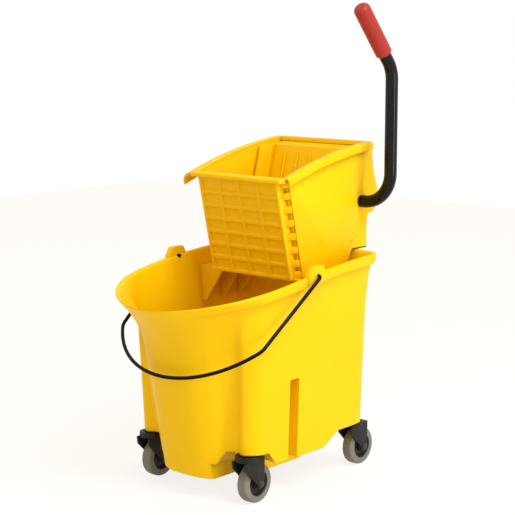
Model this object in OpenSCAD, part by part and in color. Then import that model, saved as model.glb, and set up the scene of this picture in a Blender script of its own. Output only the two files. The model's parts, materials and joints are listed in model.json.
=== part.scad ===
// Mop bucket on four swivel casters, with a lever worked side press wringer on its rear half.
// Millimetres. +X runs to the wringer end, -X to the spout, -Y is the lever side, +Z is up.
// The origin lies on the floor, under the middle of the bucket's rim.

/* [Bucket] */
// Length of the rim from the spout's tip to the rear
rim_length = 512; // [480:1:540]
// Width over the rolled lip
rim_width = 370; // [350:1:390]
// Height of the rim at the spout
rim_front_z = 379; // [365:1:395]
// Height of the rim at the rear
rim_rear_z = 440; // [425:1:455]
// Height of the underside above the floor
bottom_z = 40; // [34:1:46]
// Wall thickness of the bucket
bucket_wall = 4; // [3:0.5:5]
// How far the rolled lip stands out
lip_out = 8; // [5:0.5:10]
// Reach of the foot outline to the front
foot_front = 142; // [130:1:150]
// Reach of the foot outline to the rear
foot_rear = 228; // [220:1:236]
// Half width of the foot outline
foot_half = 155; // [150:1:160]

/* [Casters] */
// Wheel diameter over the tyre
wheel_d = 76; // [70:1:80]
// Width of the tyre
wheel_w = 23; // [18:1:25]
// Trail of the axle behind the stem
caster_trail = 22; // [20:1:26]
// Stem diameter
stem_d = 11; // [9:0.5:12]
// Place of the front stems along the bucket
front_stem_x = -104; // [-108:1:-98]
// Place of the rear stems along the bucket
rear_stem_x = 218; // [212:1:219]
// Half the distance between left and right stems
stem_half = 126; // [122:1:128]
// Height of the ledge that the casters hang from
ledge_z = 97; // [95:1:102]

/* [Bail] */
// Wire diameter of the bail
wire_d = 7; // [5:0.5:8]
// Straight leg of the bail from pivot to bend
bail_leg = 193; // [180:1:200]
// Reach of the bail from pivot to the middle of its bow
bail_reach = 292; // [286:1:300]
// Half width of the bail at its bends
bail_half = 181; // [176:1:186]
// Angle at which the bail hangs below the horizontal
bail_hang = 38; // [36:1:40]
// Place of the bail's pivot along the bucket
ear_x = 30; // [24:1:36]

/* [Wringer] */
// Half width over the side panels
panel_half = 114; // [110:1:118]
// Thickness of the wringer's walls
wringer_wall = 4; // [3:0.5:5]
// Height of the wringer's lower edge
wringer_low_z = 400; // [395:1:405]
// Place of the front wall at the height of its top
front_top_x = 10; // [5:1:15]
// Height of the front wall's top
front_top_z = 592; // [585:1:598]
// Lean of the front wall, top to the front
front_lean = 12.9; // [11:0.1:14]
// Height of the side rims at the front
side_front_z = 602; // [598:1:608]
// Height of the side rims at the rear
side_rear_z = 656; // [650:1:660]
// Rise of the arched side rims over a straight line
rim_arch = 8.5; // [4:0.5:12]
// Place of the side rims' rear end
side_rear_x = 284; // [280:1:290]
// Depth of the housing behind the side panels
housing_bulge = 37; // [35:1:42]

/* [Lever and press] */
// Diameter of the lever's tube
tube_d = 25; // [22:0.5:25.5]
// Wall of the lever's tube
tube_wall = 2; // [1.5:0.25:3]
// Place of the lever's shaft along the bucket
shaft_x = 262; // [260:1:264]
// Height of the lever's shaft
shaft_z = 537; // [534:1:540]
// Distance of the upright tube from the middle plane
lever_y = 183; // [178:1:188]
// Height of the tube's upper bend
lever_bend_z = 780; // [760:1:800]
// Forward bend of the grip
grip_bend = 41; // [35:1:45]
// Length of the grip
grip_length = 118; // [100:1:130]
// Diameter of the grip
grip_d = 33; // [31:0.5:36]
// Swing of the lever from upright
lever_swing = 60; // [55:1:60]
// Length of the crank arms
crank_r = 60; // [58:0.5:61]
// Angle of the crank arms behind upright at rest
crank_rest = 24; // [22:0.5:25]
// Height of the press plate
plate_h = 222; // [210:1:228]

/* [Hidden] */

// Shared finish of curves and cuts
$fn = 48;
hole_facets = 32;
corner_facets = 24;
overrun = 1;
running_gap = 0.05;
seat_gap = 0.3;

// Small helpers
function mix(a, b, t) = a + (b - a) * t;
function limit(v) = max(0, min(1, v));
function left(p) = [p.x, -p.y];
function reversed(v) = [for (i = [len(v) - 1:-1:0]) v[i]];

// Smooth closed curve through a list of points, each span cut into equal steps
span_steps = 4;
function curve_at(a, b, c, d, t) =
    0.5 * (2 * b + (c - a) * t + (2 * a - 5 * b + 4 * c - d) * t * t + (3 * b - a - 3 * c + d) * t * t * t);
function smooth_loop(p) = let (n = len(p))
    [for (i = [0:n - 1]) for (k = [0:span_steps - 1])
        curve_at(p[(i + n - 1) % n], p[i], p[(i + 1) % n], p[(i + 2) % n], k / span_steps)];
function both_sides(half) = concat(half, [for (i = [len(half) - 2:-1:1]) left(half[i])]);

// Rim outline: half an ellipse at the spout, then nearly straight sides and a rounded rear
rim_half_x = rim_length / 2;
rim_wall_half = rim_width / 2 - lip_out;
ellipse_centre_x = -38;
ellipse_turn_shares = [0, 0.19, 0.37, 0.5, 0.6, 0.7, 0.82, 0.97];
rim_rear_x = rim_half_x - lip_out;
rim_rear_x_shares = [0.12, 0.48, 0.88, 0.985, 1, 1, 1];
rim_rear_y_shares = [1, 0.98, 0.945, 0.86, 0.7, 0.3, 0];
rim_half = concat(
    [for (t = ellipse_turn_shares)
        [ellipse_centre_x - (rim_half_x + ellipse_centre_x) * cos(90 * t), rim_wall_half * sin(90 * t)]],
    [for (i = [0:len(rim_rear_x_shares) - 1])
        [rim_rear_x * rim_rear_x_shares[i], rim_wall_half * rim_rear_y_shares[i]]]);

// Foot outline: a front lobe, a hollow flute, a fender over each front caster, a straight rear
foot_front_x_shares = [1, 0.98, 0.887, 0.745, 0.71, 0.79, 0.66, 0.35];
foot_front_y_shares = [0, 0.245, 0.42, 0.54, 0.66, 0.8, 0.945, 0.987];
foot_rear_x_shares = [0.13, 0.52, 0.87, 0.975, 1, 1, 1];
foot_rear_y_shares = [1, 1, 0.99, 0.9, 0.72, 0.32, 0];
foot_half_line = concat(
    [for (i = [0:len(foot_front_x_shares) - 1])
        [-foot_front * foot_front_x_shares[i], foot_half * foot_front_y_shares[i]]],
    [for (i = [0:len(foot_rear_x_shares) - 1])
        [foot_rear * foot_rear_x_shares[i], foot_half * foot_rear_y_shares[i]]]);

rim_line = smooth_loop(both_sides(rim_half));
foot_line = smooth_loop(both_sides(foot_half_line));
ring_count = len(rim_line);

// Height of the rim, rising to the rear
function rim_z(x) = rim_front_z + (rim_rear_z - rim_front_z) * sin(90 * limit((x + rim_half_x) / rim_length));

// Share of the way from foot to rim outline: a straight draft, then a flare under the rim
draft_share = 0.57;
flare_start_share = 0.7;
function spread(s) = draft_share * s
    + (1 - draft_share) * pow(max(0, (s - flare_start_share) / (1 - flare_start_share)), 2);

// The lip fades out towards the spout
lip_fade = 130;
function lip_fade_share(x) = let (t = limit((x + rim_half_x) / lip_fade)) t * t * (3 - 2 * t);

function plan_line(s) = [for (i = [0:ring_count - 1]) mix(foot_line[i], rim_line[i], spread(s))];
function outward(p, i) = let (n = len(p), d = p[(i + 1) % n] - p[(i + n - 1) % n]) [-d.y, d.x] / norm(d);

// One ring of the skin at a height share, with an offset of the wall and a share of the lip
function skin_ring(s, offset, lip_share) = let (line = plan_line(s))
    [for (i = [0:ring_count - 1]) let (
        out = offset + lip_share * lip_out * lip_fade_share(rim_line[i].x),
        p = line[i] + out * outward(line, i))
        [p.x, p.y, bottom_z + s * (rim_z(rim_line[i].x) - bottom_z)]];

// Closed solid through rings from low to high, with a slightly crowned floor and a top of strips across
// the middle plane
floor_crown = 2;
floor_middle_x = (foot_rear - foot_front) / 2;
module skin_solid(height_shares, offsets, lip_shares) {
    n = ring_count;
    rings = len(height_shares);
    top = n * (rings - 1);
    skin = [for (k = [0:rings - 1]) each skin_ring(height_shares[k], offsets[k], lip_shares[k])];
    middle = [floor_middle_x, 0, skin[0].z + floor_crown];
    sides = [for (k = [0:rings - 2]) for (i = [0:n - 1]) let (
        a = k * n + i, b = k * n + (i + 1) % n) each [[a, b, a + n], [b, b + n, a + n]]];
    floor_fan = [for (i = [0:n - 1]) [(i + 1) % n, i, n * rings]];
    top_strip = [for (i = [0:n / 2 - 1]) let (
        a = top + i, b = top + i + 1, c = top + (n - i - 1) % n, d = top + (n - i) % n)
        each (i == 0 ? [[a, b, c]] : i == n / 2 - 1 ? [[a, b, d]] : [[a, b, c], [a, c, d]])];
    polyhedron(concat(skin, [middle]), concat(sides, floor_fan, top_strip), convexity = 10);
}

// Levels of the outer and the inner skin
bottom_round = 5;
lip_edge = 3;
outer_height_shares = [0, 0.015, 0.25, 0.5, 0.7, 0.79, 0.87, 0.945, 0.95, 0.99, 1];
outer_lip_shares = [0, 0, 0, 0, 0, 0, 0, 0, 1, 1, 1];
outer_last = len(outer_height_shares) - 1;
outer_offsets = [for (k = [0:outer_last]) k == 0 ? -bottom_round : k == outer_last ? -lip_edge : 0];
inner_height_shares = [0.016, 0.03, 0.25, 0.5, 0.7, 0.79, 0.87, 0.95, 1.04];
inner_lip_shares = [for (t = inner_height_shares) 0];
inner_offsets = [for (k = [0:len(inner_height_shares) - 1]) -bucket_wall - (k == 0 ? bottom_round : 0)];

// Caster places, one to four: front lever side, front far side, rear lever side, rear far side
function stem_at(c) = [c < 3 ? front_stem_x : rear_stem_x, (c % 2 == 1 ? -1 : 1) * stem_half];

// Clear room for a caster's swing under the bucket. Over the skirt's edge only the crown and the
// top of the wheel need room.
swing_clear = 4;
swing_r = caster_trail + wheel_d / 2 + swing_clear;
skirt_z = 72;
skirt_half = 96;
wheel_top_half = 24;
arch_top_r = caster_trail + wheel_top_half - swing_clear;
arch_draft = 18;
arch_low_r = arch_top_r + arch_draft;
arch_facets = 48;
room_corner_r = 6;
rear_arch_x = 135;
rear_slant = 45;
reach = rim_length;
module caster_room(grow) {
    for (c = [1:2])
        translate([each stem_at(c), skirt_z - overrun])
            cylinder(r1 = arch_low_r + grow, r2 = arch_top_r + grow,
                h = ledge_z - skirt_z + grow + overrun, $fn = arch_facets);
    corner = [front_stem_x + swing_r - room_corner_r, stem_half - swing_r + room_corner_r];
    for (side = [-1, 1])
        hull()
            for (x = [-reach, corner.x], y = [corner.y, reach])
                translate([x, side * y, -overrun])
                    cylinder(r = room_corner_r + grow, h = skirt_z + grow + overrun, $fn = corner_facets);
    inner_y = stem_half - swing_r - grow;
    x = rear_arch_x - grow;
    for (side = [-1, 1])
        hull() {
            translate([x, min(side * inner_y, side * reach), -overrun])
                cube([reach, reach - inner_y, ledge_z + grow + overrun]);
            translate([x - rear_slant, min(side * inner_y, side * reach), -overrun])
                cube([reach, reach - inner_y, skirt_z + grow + overrun]);
        }
    for (side = [-1, 1])
        translate([-reach, min(side * (skirt_half - grow), side * reach), -overrun])
            cube([2 * reach, reach - skirt_half + grow, skirt_z + grow + overrun]);
}

// Deep upright slot in each side, which stiffens the wall and breaks the water's waves
slot_from_x = -18;
slot_to_x = 8;
slot_top_z = 234;
slot_depth_y = 121;
slot_corner_r = 6;
slot_draft = 7;
module side_slots(grow) {
    r = slot_corner_r + grow;
    for (side = [-1, 1])
        hull()
            for (x = [slot_from_x + slot_corner_r, slot_to_x - slot_corner_r]) {
                translate([x, side * (slot_depth_y + slot_corner_r), -overrun])
                    cylinder(r = r, h = slot_top_z - slot_draft + grow + overrun, $fn = corner_facets);
                translate([x, side * rim_width / 2, -overrun])
                    cylinder(r = r, h = slot_top_z + grow + overrun, $fn = corner_facets);
            }
}

// Bosses that hold the caster sockets
socket_r = 8.5;
socket_flange_r = 13;
socket_flange_h = 2.5;
socket_h = 36;
boss_wall = 5;
module socket_bosses() {
    for (c = [1:4])
        translate([each stem_at(c), bottom_z])
            cylinder(r = socket_r + boss_wall, h = ledge_z - bottom_z + socket_h + boss_wall);
}

// Shelves inside the side walls that carry the wringer
shelf_from_x = 84;
shelf_to_x = 196;
shelf_t = 6;
shelf_lip = 12;
shelf_rib_t = 5;
shelf_drop = 70;
module wringer_shelves() {
    for (side = [-1, 1])
        let (inner_y = panel_half - shelf_lip) {
            translate([shelf_from_x, min(side * inner_y, side * reach), wringer_low_z - shelf_t])
                cube([shelf_to_x - shelf_from_x, reach - inner_y, shelf_t]);
            for (x = [shelf_from_x, (shelf_from_x + shelf_to_x - shelf_rib_t) / 2, shelf_to_x - shelf_rib_t])
                translate([x, 0, wringer_low_z - shelf_t])
                    rotate([0, 90, 0])
                        linear_extrude(shelf_rib_t)
                            polygon([[0, side * inner_y], [0, side * reach], [shelf_drop, side * reach],
                                [shelf_drop, side * (panel_half + shelf_drop / 2)]]);
        }
}

// Ears on the rim for the bail
ear_base = 52;
ear_top = 36;
ear_rise = 17;
ear_depth = 30;
ear_t = 12;
ear_out = 3;
pivot_drop = 2;
pivot_z = rim_z(ear_x) - pivot_drop;
pivot_hole_r = wire_d / 2 + seat_gap;
ear_y = rim_width / 2 + ear_out - ear_t;
module bail_ears() {
    for (side = [-1, 1])
        translate([ear_x, side > 0 ? ear_y + ear_t : -ear_y, rim_z(ear_x)])
            rotate([90, 0, 0])
                linear_extrude(ear_t)
                    polygon([[-ear_base / 2, -ear_depth / 2], [ear_base / 2, -ear_depth / 2],
                        [ear_base / 2, 0], [ear_top / 2, ear_rise],
                        [-ear_top / 2, ear_rise], [-ear_base / 2, 0]]);
}

module bucket() {
    color("gold")
        difference() {
            union() {
                difference() {
                    skin_solid(outer_height_shares, outer_offsets, outer_lip_shares);
                    caster_room(0);
                    side_slots(0);
                    difference() {
                        skin_solid(inner_height_shares, inner_offsets, inner_lip_shares);
                        caster_room(bucket_wall);
                        side_slots(bucket_wall);
                        socket_bosses();
                        wringer_shelves();
                    }
                }
                bail_ears();
            }
            for (side = [-1, 1])
                translate([ear_x, side * (ear_y - bail_tip - overrun), pivot_z])
                    rotate([-side * 90, 0, 0])
                        cylinder(r = pivot_hole_r, h = ear_t + bail_tip + 2 * overrun, $fn = hole_facets);
            for (c = [1:4])
                translate([each stem_at(c), ledge_z - overrun])
                    cylinder(r = socket_r + running_gap, h = socket_h + overrun, $fn = hole_facets);
        }
}

// Bail: one wire with a tip in each ear, straight legs and a bow round the front, drawn in its own plane
bail_tip = 5;
bail_leg_y = rim_width / 2 + ear_out + wire_d;
pivot_bend_r = wire_d;
bend_r = 14;
bow_depth = bail_reach - bail_leg;
bow_r = (bail_half * bail_half + bow_depth * bow_depth) / (2 * bow_depth);
bow_centre = [bail_reach - bow_r, 0];
// Legs run from beside the ear to the bow's end, and turn into the bow on a bend that touches both
leg_foot = [0, bail_leg_y];
leg_line = [bail_leg, bail_half] - leg_foot;
leg_way = leg_line / norm(leg_line);
leg_in = [leg_way.y, -leg_way.x];
bend_from = leg_foot + bend_r * leg_in - bow_centre;
bend_half = bend_from * leg_way;
bend_along = -bend_half + sqrt(bend_half * bend_half - bend_from * bend_from + pow(bow_r - bend_r, 2));
bend_centre = leg_foot + bend_along * leg_way + bend_r * leg_in;
function way_angle(v) = atan2(v.y, v.x);
leg_angle = way_angle(-leg_in);
bow_angle = way_angle(bend_centre - bow_centre);
// The bend at the pivot touches the pivot axis and the leg
pivot_tangent = pivot_bend_r * tan((180 - leg_angle) / 2);
pivot_centre = [pivot_bend_r, bail_leg_y - pivot_tangent];
// A straight bar of wire and a bend of wire round a centre. A bend is a hair thicker, so that a bar
// which runs a little way into it fuses with it cleanly.
bend_swell = 0.05;
bar_lap = 0.5;
module wire_bar(from, to) {
    translate([each from, 0])
        rotate([0, 0, way_angle(to - from)])
            rotate([0, 90, 0])
                translate([0, 0, -bar_lap])
                    cylinder(d = wire_d, h = norm(to - from) + 2 * bar_lap);
}
module wire_bend(centre, r, d, from, to) {
    translate([each centre, 0])
        rotate([0, 0, from])
            rotate_extrude(angle = to - from)
                translate([r, 0])
                    circle(d = d);
}
bend_d = wire_d + 2 * bend_swell;
bow_lap = bar_lap / bow_r * 180 / PI;
module bail_side_wire() {
    wire_bar([0, ear_y - bail_tip], [0, bail_leg_y - pivot_tangent]);
    wire_bend(pivot_centre, pivot_bend_r, bend_d, leg_angle, 180);
    wire_bar(leg_foot + pivot_tangent * leg_way, leg_foot + bend_along * leg_way);
    wire_bend(bend_centre, bend_r, bend_d, bow_angle, leg_angle);
}
module bail() {
    color("#26221e")
        translate([ear_x, 0, pivot_z])
            rotate([0, -bail_hang, 0])
                rotate([0, 0, 180]) {
                    bail_side_wire();
                    mirror([0, 1, 0])
                        bail_side_wire();
                    wire_bend(bow_centre, bow_r, wire_d, -bow_angle - bow_lap, bow_angle + bow_lap);
                }
}

// Wringer side view, as points along the bucket and up
front_slope = tan(front_lean);
function front_x(z) = front_top_x + (front_top_z - z) * front_slope;
arch_steps = 12;
rim_corner = 12;
side_front_x = front_x(side_front_z) + rim_corner;
// The side rims lie on an arc through both ends, which rises over the straight line between them
arch_from = [side_front_x, side_front_z];
arch_chord = [side_rear_x, side_rear_z] - arch_from;
arch_r = (arch_chord * arch_chord / 4 + rim_arch * rim_arch) / (2 * rim_arch);
arch_centre = arch_from + arch_chord / 2
    + (arch_r - rim_arch) * [arch_chord.y, -arch_chord.x] / norm(arch_chord);
function arch_z(x) = arch_centre.y + sqrt(arch_r * arch_r - pow(x - arch_centre.x, 2));
function arch_angle(x) = acos((x - arch_centre.x) / arch_r);
function arch_line(from, to, drop) =
    [for (k = [0:arch_steps]) let (x = mix(from, to, k / arch_steps)) [x, arch_z(x) - drop]];
rear_edge_slope = 0.267;
seat_z = 446;
rear_edge_low_x = 231;
function rear_edge_x(z) = rear_edge_low_x + (z - seat_z) * rear_edge_slope;
panel_low_x = 203;
corner_step = 22;
rear_edge_top_z = 640;
flange_t = 5;
panel_line = concat(
    arch_line(side_front_x, side_rear_x, flange_t / 2),
    [[rear_edge_x(rear_edge_top_z), rear_edge_top_z], [rear_edge_low_x, seat_z], [panel_low_x, wringer_low_z],
     [front_x(wringer_low_z) + corner_step, wringer_low_z],
     [front_x(front_top_z) + corner_step, front_top_z]]);

// A plate drawn in the side view, with its thickness from y to y + t
module side_plate(line, y, t) {
    translate([0, y + t, 0])
        rotate([90, 0, 0])
            linear_extrude(t)
                polygon(line);
}
module both_plates(line, inner_y, t) {
    side_plate(line, inner_y, t);
    side_plate(line, -inner_y - t, t);
}

// Front wall with rows and columns of recessed pockets
waffle_half = 101;
front_t = 12;
pocket_depth = 4;
pocket_rib = 6;
waffle_rows = 7;
waffle_columns = 4;
waffle_len = (front_top_z - wringer_low_z) / cos(front_lean);
pocket_h = (waffle_len - pocket_rib) / waffle_rows - pocket_rib;
pocket_w = (2 * waffle_half - pocket_rib) / waffle_columns - pocket_rib;
// Three sided ribs in the stepped corners, which slant from the front wall's edge out to the side panel
gusset_h = 14;
gusset_inset = 0.5;
gusset_shift = (gusset_h - pocket_rib) / 2 + gusset_inset;
// Places the children on the front wall: across it along Y, up it along Z, into it along X
module on_front() {
    translate([front_x(wringer_low_z), 0, wringer_low_z])
        rotate([0, -front_lean, 0])
            children();
}
function strip_line(from, to) = [[front_x(wringer_low_z) + from, wringer_low_z],
    [front_x(wringer_low_z) + to, wringer_low_z], [front_x(front_top_z) + to, front_top_z],
    [front_x(front_top_z) + from, front_top_z]];
module front_wall() {
    difference() {
        side_plate(strip_line(0, front_t), -waffle_half, 2 * waffle_half);
        on_front()
            for (row = [0:waffle_rows - 1])
                for (col = [0:waffle_columns - 1])
                    translate([-overrun, -waffle_half + pocket_rib + col * (pocket_w + pocket_rib),
                        pocket_rib + row * (pocket_h + pocket_rib)])
                        cube([pocket_depth + overrun, pocket_w, pocket_h]);
    }
    both_plates(strip_line(front_t, corner_step + wringer_wall), waffle_half - wringer_wall, wringer_wall);
    both_plates(strip_line(corner_step, corner_step + wringer_wall), waffle_half, panel_half - waffle_half);
    on_front()
        for (row = [0:waffle_rows])
            let (shift = row == 0 ? gusset_shift : row == waffle_rows ? -gusset_shift : 0)
                for (side = [-1, 1])
                    translate([0, 0, pocket_rib / 2 + row * (pocket_h + pocket_rib) + shift - gusset_h / 2])
                        linear_extrude(gusset_h)
                            polygon([[front_t - gusset_inset, side * (waffle_half - gusset_inset)],
                                [corner_step, side * (waffle_half - gusset_inset)],
                                [corner_step, side * (panel_half - gusset_inset)]]);
}

// Rolled rims: a strip over the panel's top, a quarter turn, then a leg with a round end.
// The lever side is tight, the far side is a wide hook to hang a mop or a sign on.
flange_drop = 14;
near_rim_flat = 4;
near_rim_r = 6;
near_rim_leg = 8;
far_rim_flat = 7;
far_rim_r = 25;
far_rim_leg = 0;
far_rim_ahead = 11;
front_flange = 12;
front_lip_r = 5;
// Section of a rim, with the distance from the arc's centre along X and from the middle plane along Y
module rim_section(flat, r, leg) {
    bend = [arch_r - r, panel_half + flat];
    translate([arch_r - flange_t, panel_half - wringer_wall])
        square([flange_t, wringer_wall + flat]);
    intersection() {
        translate(bend)
            difference() {
                circle(r = r);
                circle(r = r - flange_t);
            }
        translate(bend)
            square([r, r]);
    }
    translate([bend.x - leg, bend.y + r - flange_t])
        square([leg + overrun, flange_t]);
    translate([bend.x - leg, bend.y + r - flange_t / 2])
        circle(d = flange_t);
}
module side_rim(from_x, flat, r, leg) {
    rear = arch_angle(side_rear_x);
    translate([arch_centre.x, 0, arch_centre.y])
        rotate([90, 0, 0])
            rotate([0, 0, rear])
                rotate_extrude(angle = arch_angle(from_x) - rear)
                    rim_section(flat, r, leg);
}
module rolled_rim() {
    side_rim(side_front_x, near_rim_flat, near_rim_r, near_rim_leg);
    mirror([0, 1, 0])
        side_rim(side_front_x - far_rim_ahead, far_rim_flat, far_rim_r, far_rim_leg);
    lip_x = front_x(side_front_z) - flange_t;
    translate([0, panel_half, 0])
        rotate([90, 0, 0])
            linear_extrude(2 * panel_half) {
                translate([lip_x + front_lip_r, side_front_z - front_lip_r])
                    circle(r = front_lip_r);
                polygon([[lip_x, front_top_z], [side_front_x + front_flange, front_top_z],
                    [side_front_x + front_flange, side_front_z - flange_t / 2], [side_front_x, side_front_z],
                    [lip_x + front_lip_r, side_front_z], [lip_x, side_front_z - front_lip_r]]);
            }
}

// Drain grate in the wringer's floor
grate_t = 4;
grate_slots = 9;
grate_bar = 8;
grate_margin = 12;
grate_from_x = front_x(wringer_low_z) + front_t - wringer_wall;
grate_inner_half = panel_half - wringer_wall;
module drain_grate() {
    pitch = (2 * grate_inner_half - 2 * grate_margin + grate_bar) / grate_slots;
    difference() {
        translate([grate_from_x, -grate_inner_half, wringer_low_z])
            cube([panel_low_x - grate_from_x, 2 * grate_inner_half, grate_t]);
        for (k = [0:grate_slots - 1])
            translate([grate_from_x + grate_margin + corner_step,
                -grate_inner_half + grate_margin + k * pitch, wringer_low_z - overrun])
                cube([panel_low_x - grate_from_x - 2 * grate_margin - corner_step, pitch - grate_bar,
                    grate_t + 2 * overrun]);
    }
}

// Guide ribs inside the side panels, on which the press plate's wings slide
rib_z = 500;
rib_t = 6;
rib_in = 9;
rib_from_x = 86;
// How far the housing's cheeks lap inside the side panels
cheek_lap = 18;
rib_to_x = rear_edge_x(rib_z) - cheek_lap - seat_gap;
module guide_ribs() {
    for (side = [-1, 1])
        translate([rib_from_x, min(side * (grate_inner_half - rib_in), side * grate_inner_half), rib_z])
            cube([rib_to_x - rib_from_x, rib_in, rib_t]);
}

// Screws through the side panels into the housing's cheeks
screw_r = 2.5;
screw_z = 462;
screw_inset = 8;
screw_x = rear_edge_x(screw_z) - screw_inset;
screw_head_r = 5;
screw_head_h = 2.5;
screw_len = 9;
module screw_holes(r) {
    for (side = [-1, 1])
        translate([screw_x, side * (panel_half + overrun), screw_z])
            rotate([side * 90, 0, 0])
                cylinder(r = r, h = screw_len + 2 * overrun);
}

module wringer_body() {
    color("gold")
        difference() {
            union() {
                both_plates(panel_line, panel_half - wringer_wall, wringer_wall);
                front_wall();
                rolled_rim();
                drain_grate();
                guide_ribs();
            }
            screw_holes(screw_r + running_gap);
            translate([shaft_x, panel_half + overrun, shaft_z])
                rotate([90, 0, 0])
                    cylinder(r = bush_flange_r + seat_gap, h = 2 * panel_half + 2 * overrun);
        }
}

// Housing behind the press: a bulged rear wall between two cheeks, hooked over the bucket's rim
housing_low_z = rim_rear_z + seat_gap;
housing_x = 284;
housing_x_shares = [0, 0, 0.05, 0.6, 0.92, 1, 0.84, 0.55, 0.41, 0];
housing_z_shares = [0, 0.045, 0.29, 0.335, 0.41, 0.52, 0.6, 0.75, 0.915, 1];
housing_h = side_rear_z - housing_low_z;
housing_line = [for (i = [0:len(housing_x_shares) - 1])
    [housing_x + housing_bulge * housing_x_shares[i], housing_low_z + housing_h * housing_z_shares[i]]];
cheek_t = 4;
cheek_half = panel_half - wringer_wall;
hook_gap = 1;
hook_t = 4;
hook_drop = 24;
housing_rim = 12;
bush_r = 16;
bush_flange_r = 20;
bush_flange_t = 2;
module rear_housing() {
    cheek = concat(housing_line, [[rear_edge_x(rear_edge_top_z) - cheek_lap, rear_edge_top_z - flange_drop],
        [rear_edge_low_x - cheek_lap, seat_z], [rear_edge_low_x, housing_low_z]]);
    hook_x = rim_half_x + hook_gap;
    rim_low_z = plate_top_z + plate_t + seat_gap;
    color("gold")
        difference() {
            union() {
                both_plates(cheek, cheek_half - cheek_t, cheek_t);
                side_plate(concat(housing_line, reversed([for (p = housing_line) [p.x - wringer_wall, p.y]])),
                    -cheek_half, 2 * cheek_half);
                side_plate([[rear_edge_low_x, housing_low_z], [housing_x, housing_low_z],
                    [housing_x, housing_low_z + wringer_wall],
                    [rear_edge_low_x, housing_low_z + wringer_wall]], -cheek_half, 2 * cheek_half);
                side_plate([[housing_x - housing_rim, rim_low_z], [housing_x, rim_low_z],
                    [housing_x, side_rear_z], [housing_x - housing_rim, side_rear_z]],
                    -cheek_half, 2 * cheek_half);
                side_plate([[hook_x, housing_low_z - hook_drop], [hook_x + hook_t, housing_low_z - hook_drop],
                    [hook_x + hook_t, housing_low_z], [hook_x, housing_low_z]], -cheek_half, 2 * cheek_half);
            }
            translate([shaft_x, cheek_half + overrun, shaft_z])
                rotate([90, 0, 0])
                    cylinder(r = bush_r + running_gap, h = 2 * cheek_half + 2 * overrun);
            screw_holes(screw_r + running_gap);
        }
}

module housing_screws() {
    color("silver")
        for (side = [-1, 1])
            translate([screw_x, side * panel_half, screw_z])
                rotate([side * 90, 0, 0]) {
                    cylinder(r = screw_r, h = screw_len);
                    translate([0, 0, -screw_head_h])
                        cylinder(r = screw_head_r, h = screw_head_h);
                }
}

// Press plate: a leaning panel with wings along its sides and a lip at its top
plate_t = 5;
plate_clear = 2;
plate_half = grate_inner_half - cheek_t - plate_clear;
plate_low_z = 420;
plate_low_x = 183;
wing_deep = 43;
wing_t = 6;
plate_lip = 33;
plate_rib_t = 4;
plate_rib_out = 3;
plate_rib_count = 5;
groove_gap = 0.4;
function plate_x(z) = plate_low_x + (z - plate_low_z) * rear_edge_slope;
plate_top_z = plate_low_z + plate_h;
function plate_band(from, to, low, high) = [[plate_x(low) + from, low], [plate_x(low) + to, low],
    [plate_x(high) + to, high], [plate_x(high) + from, high]];
plate_rib_inset = 14;
module press_plate() {
    rib_pitch = 2 * (plate_half - wing_t) / (plate_rib_count + 1);
    top_x = plate_x(plate_top_z);
    color("gold")
        difference() {
            union() {
                side_plate(plate_band(0, plate_t, plate_low_z, plate_top_z), -plate_half, 2 * plate_half);
                both_plates(plate_band(-wing_deep, 0, plate_low_z, plate_top_z), plate_half - wing_t, wing_t);
                side_plate([[top_x, plate_top_z], [top_x + plate_lip, plate_top_z + plate_t],
                    [top_x + plate_lip, plate_top_z], [top_x + plate_t, plate_top_z - plate_t]],
                    -plate_half, 2 * plate_half);
                for (k = [1:plate_rib_count])
                    side_plate(plate_band(-plate_rib_out, 0, plate_low_z + plate_rib_inset,
                        plate_top_z - plate_rib_inset),
                        -plate_half + wing_t + k * rib_pitch - plate_rib_t / 2, plate_rib_t);
            }
            for (side = [-1, 1])
                translate([-reach, min(side * (grate_inner_half - rib_in - groove_gap), side * reach),
                    rib_z - groove_gap])
                    cube([2 * reach, reach, rib_t + 2 * groove_gap]);
            yoke_screw_holes(screw_r + running_gap);
        }
}

// Crank and yoke: the pin's roller pushes the slotted brackets on the plate's back
roller_r = 6;
roller_play = 1.2;
pin_r = 3.5;
yoke_y = 44;
yoke_t = 8;
arm_y = 55;
arm_t = 8;
arm_hub_r = 20;
arm_end_r = 10;
yoke_border = 4;
yoke_lift = 29;
yoke_low_z = shaft_z + yoke_lift;
yoke_shift = 0.9;
pin_x = shaft_x + crank_r * sin(crank_rest);
pin_z = shaft_z + crank_r * cos(crank_rest);
pin_low_z = shaft_z + crank_r * cos(lever_swing - crank_rest);
slot_mid_x = pin_x - yoke_shift;
slot_low_z = pin_low_z - roller_play;
slot_high_z = shaft_z + crank_r + roller_play;
yoke_high_z = slot_high_z + roller_r + yoke_border;
foot_t = 4;
foot_w = 16;
plate_lean = atan(rear_edge_slope);
yoke_grip = (plate_t + foot_t) * cos(plate_lean);
yoke_screw_inset = 8;
yoke_screw_zs = [yoke_low_z + yoke_screw_inset, yoke_high_z - yoke_screw_inset];
module yoke_screw_holes(r) {
    for (side = [-1, 1])
        for (z = yoke_screw_zs)
            translate([plate_x(z), side * (yoke_y - foot_w / 2), z])
                rotate([0, 90 + plate_lean, 0])
                    translate([0, 0, -overrun])
                        cylinder(r = r, h = yoke_grip + 2 * overrun);
}
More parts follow.
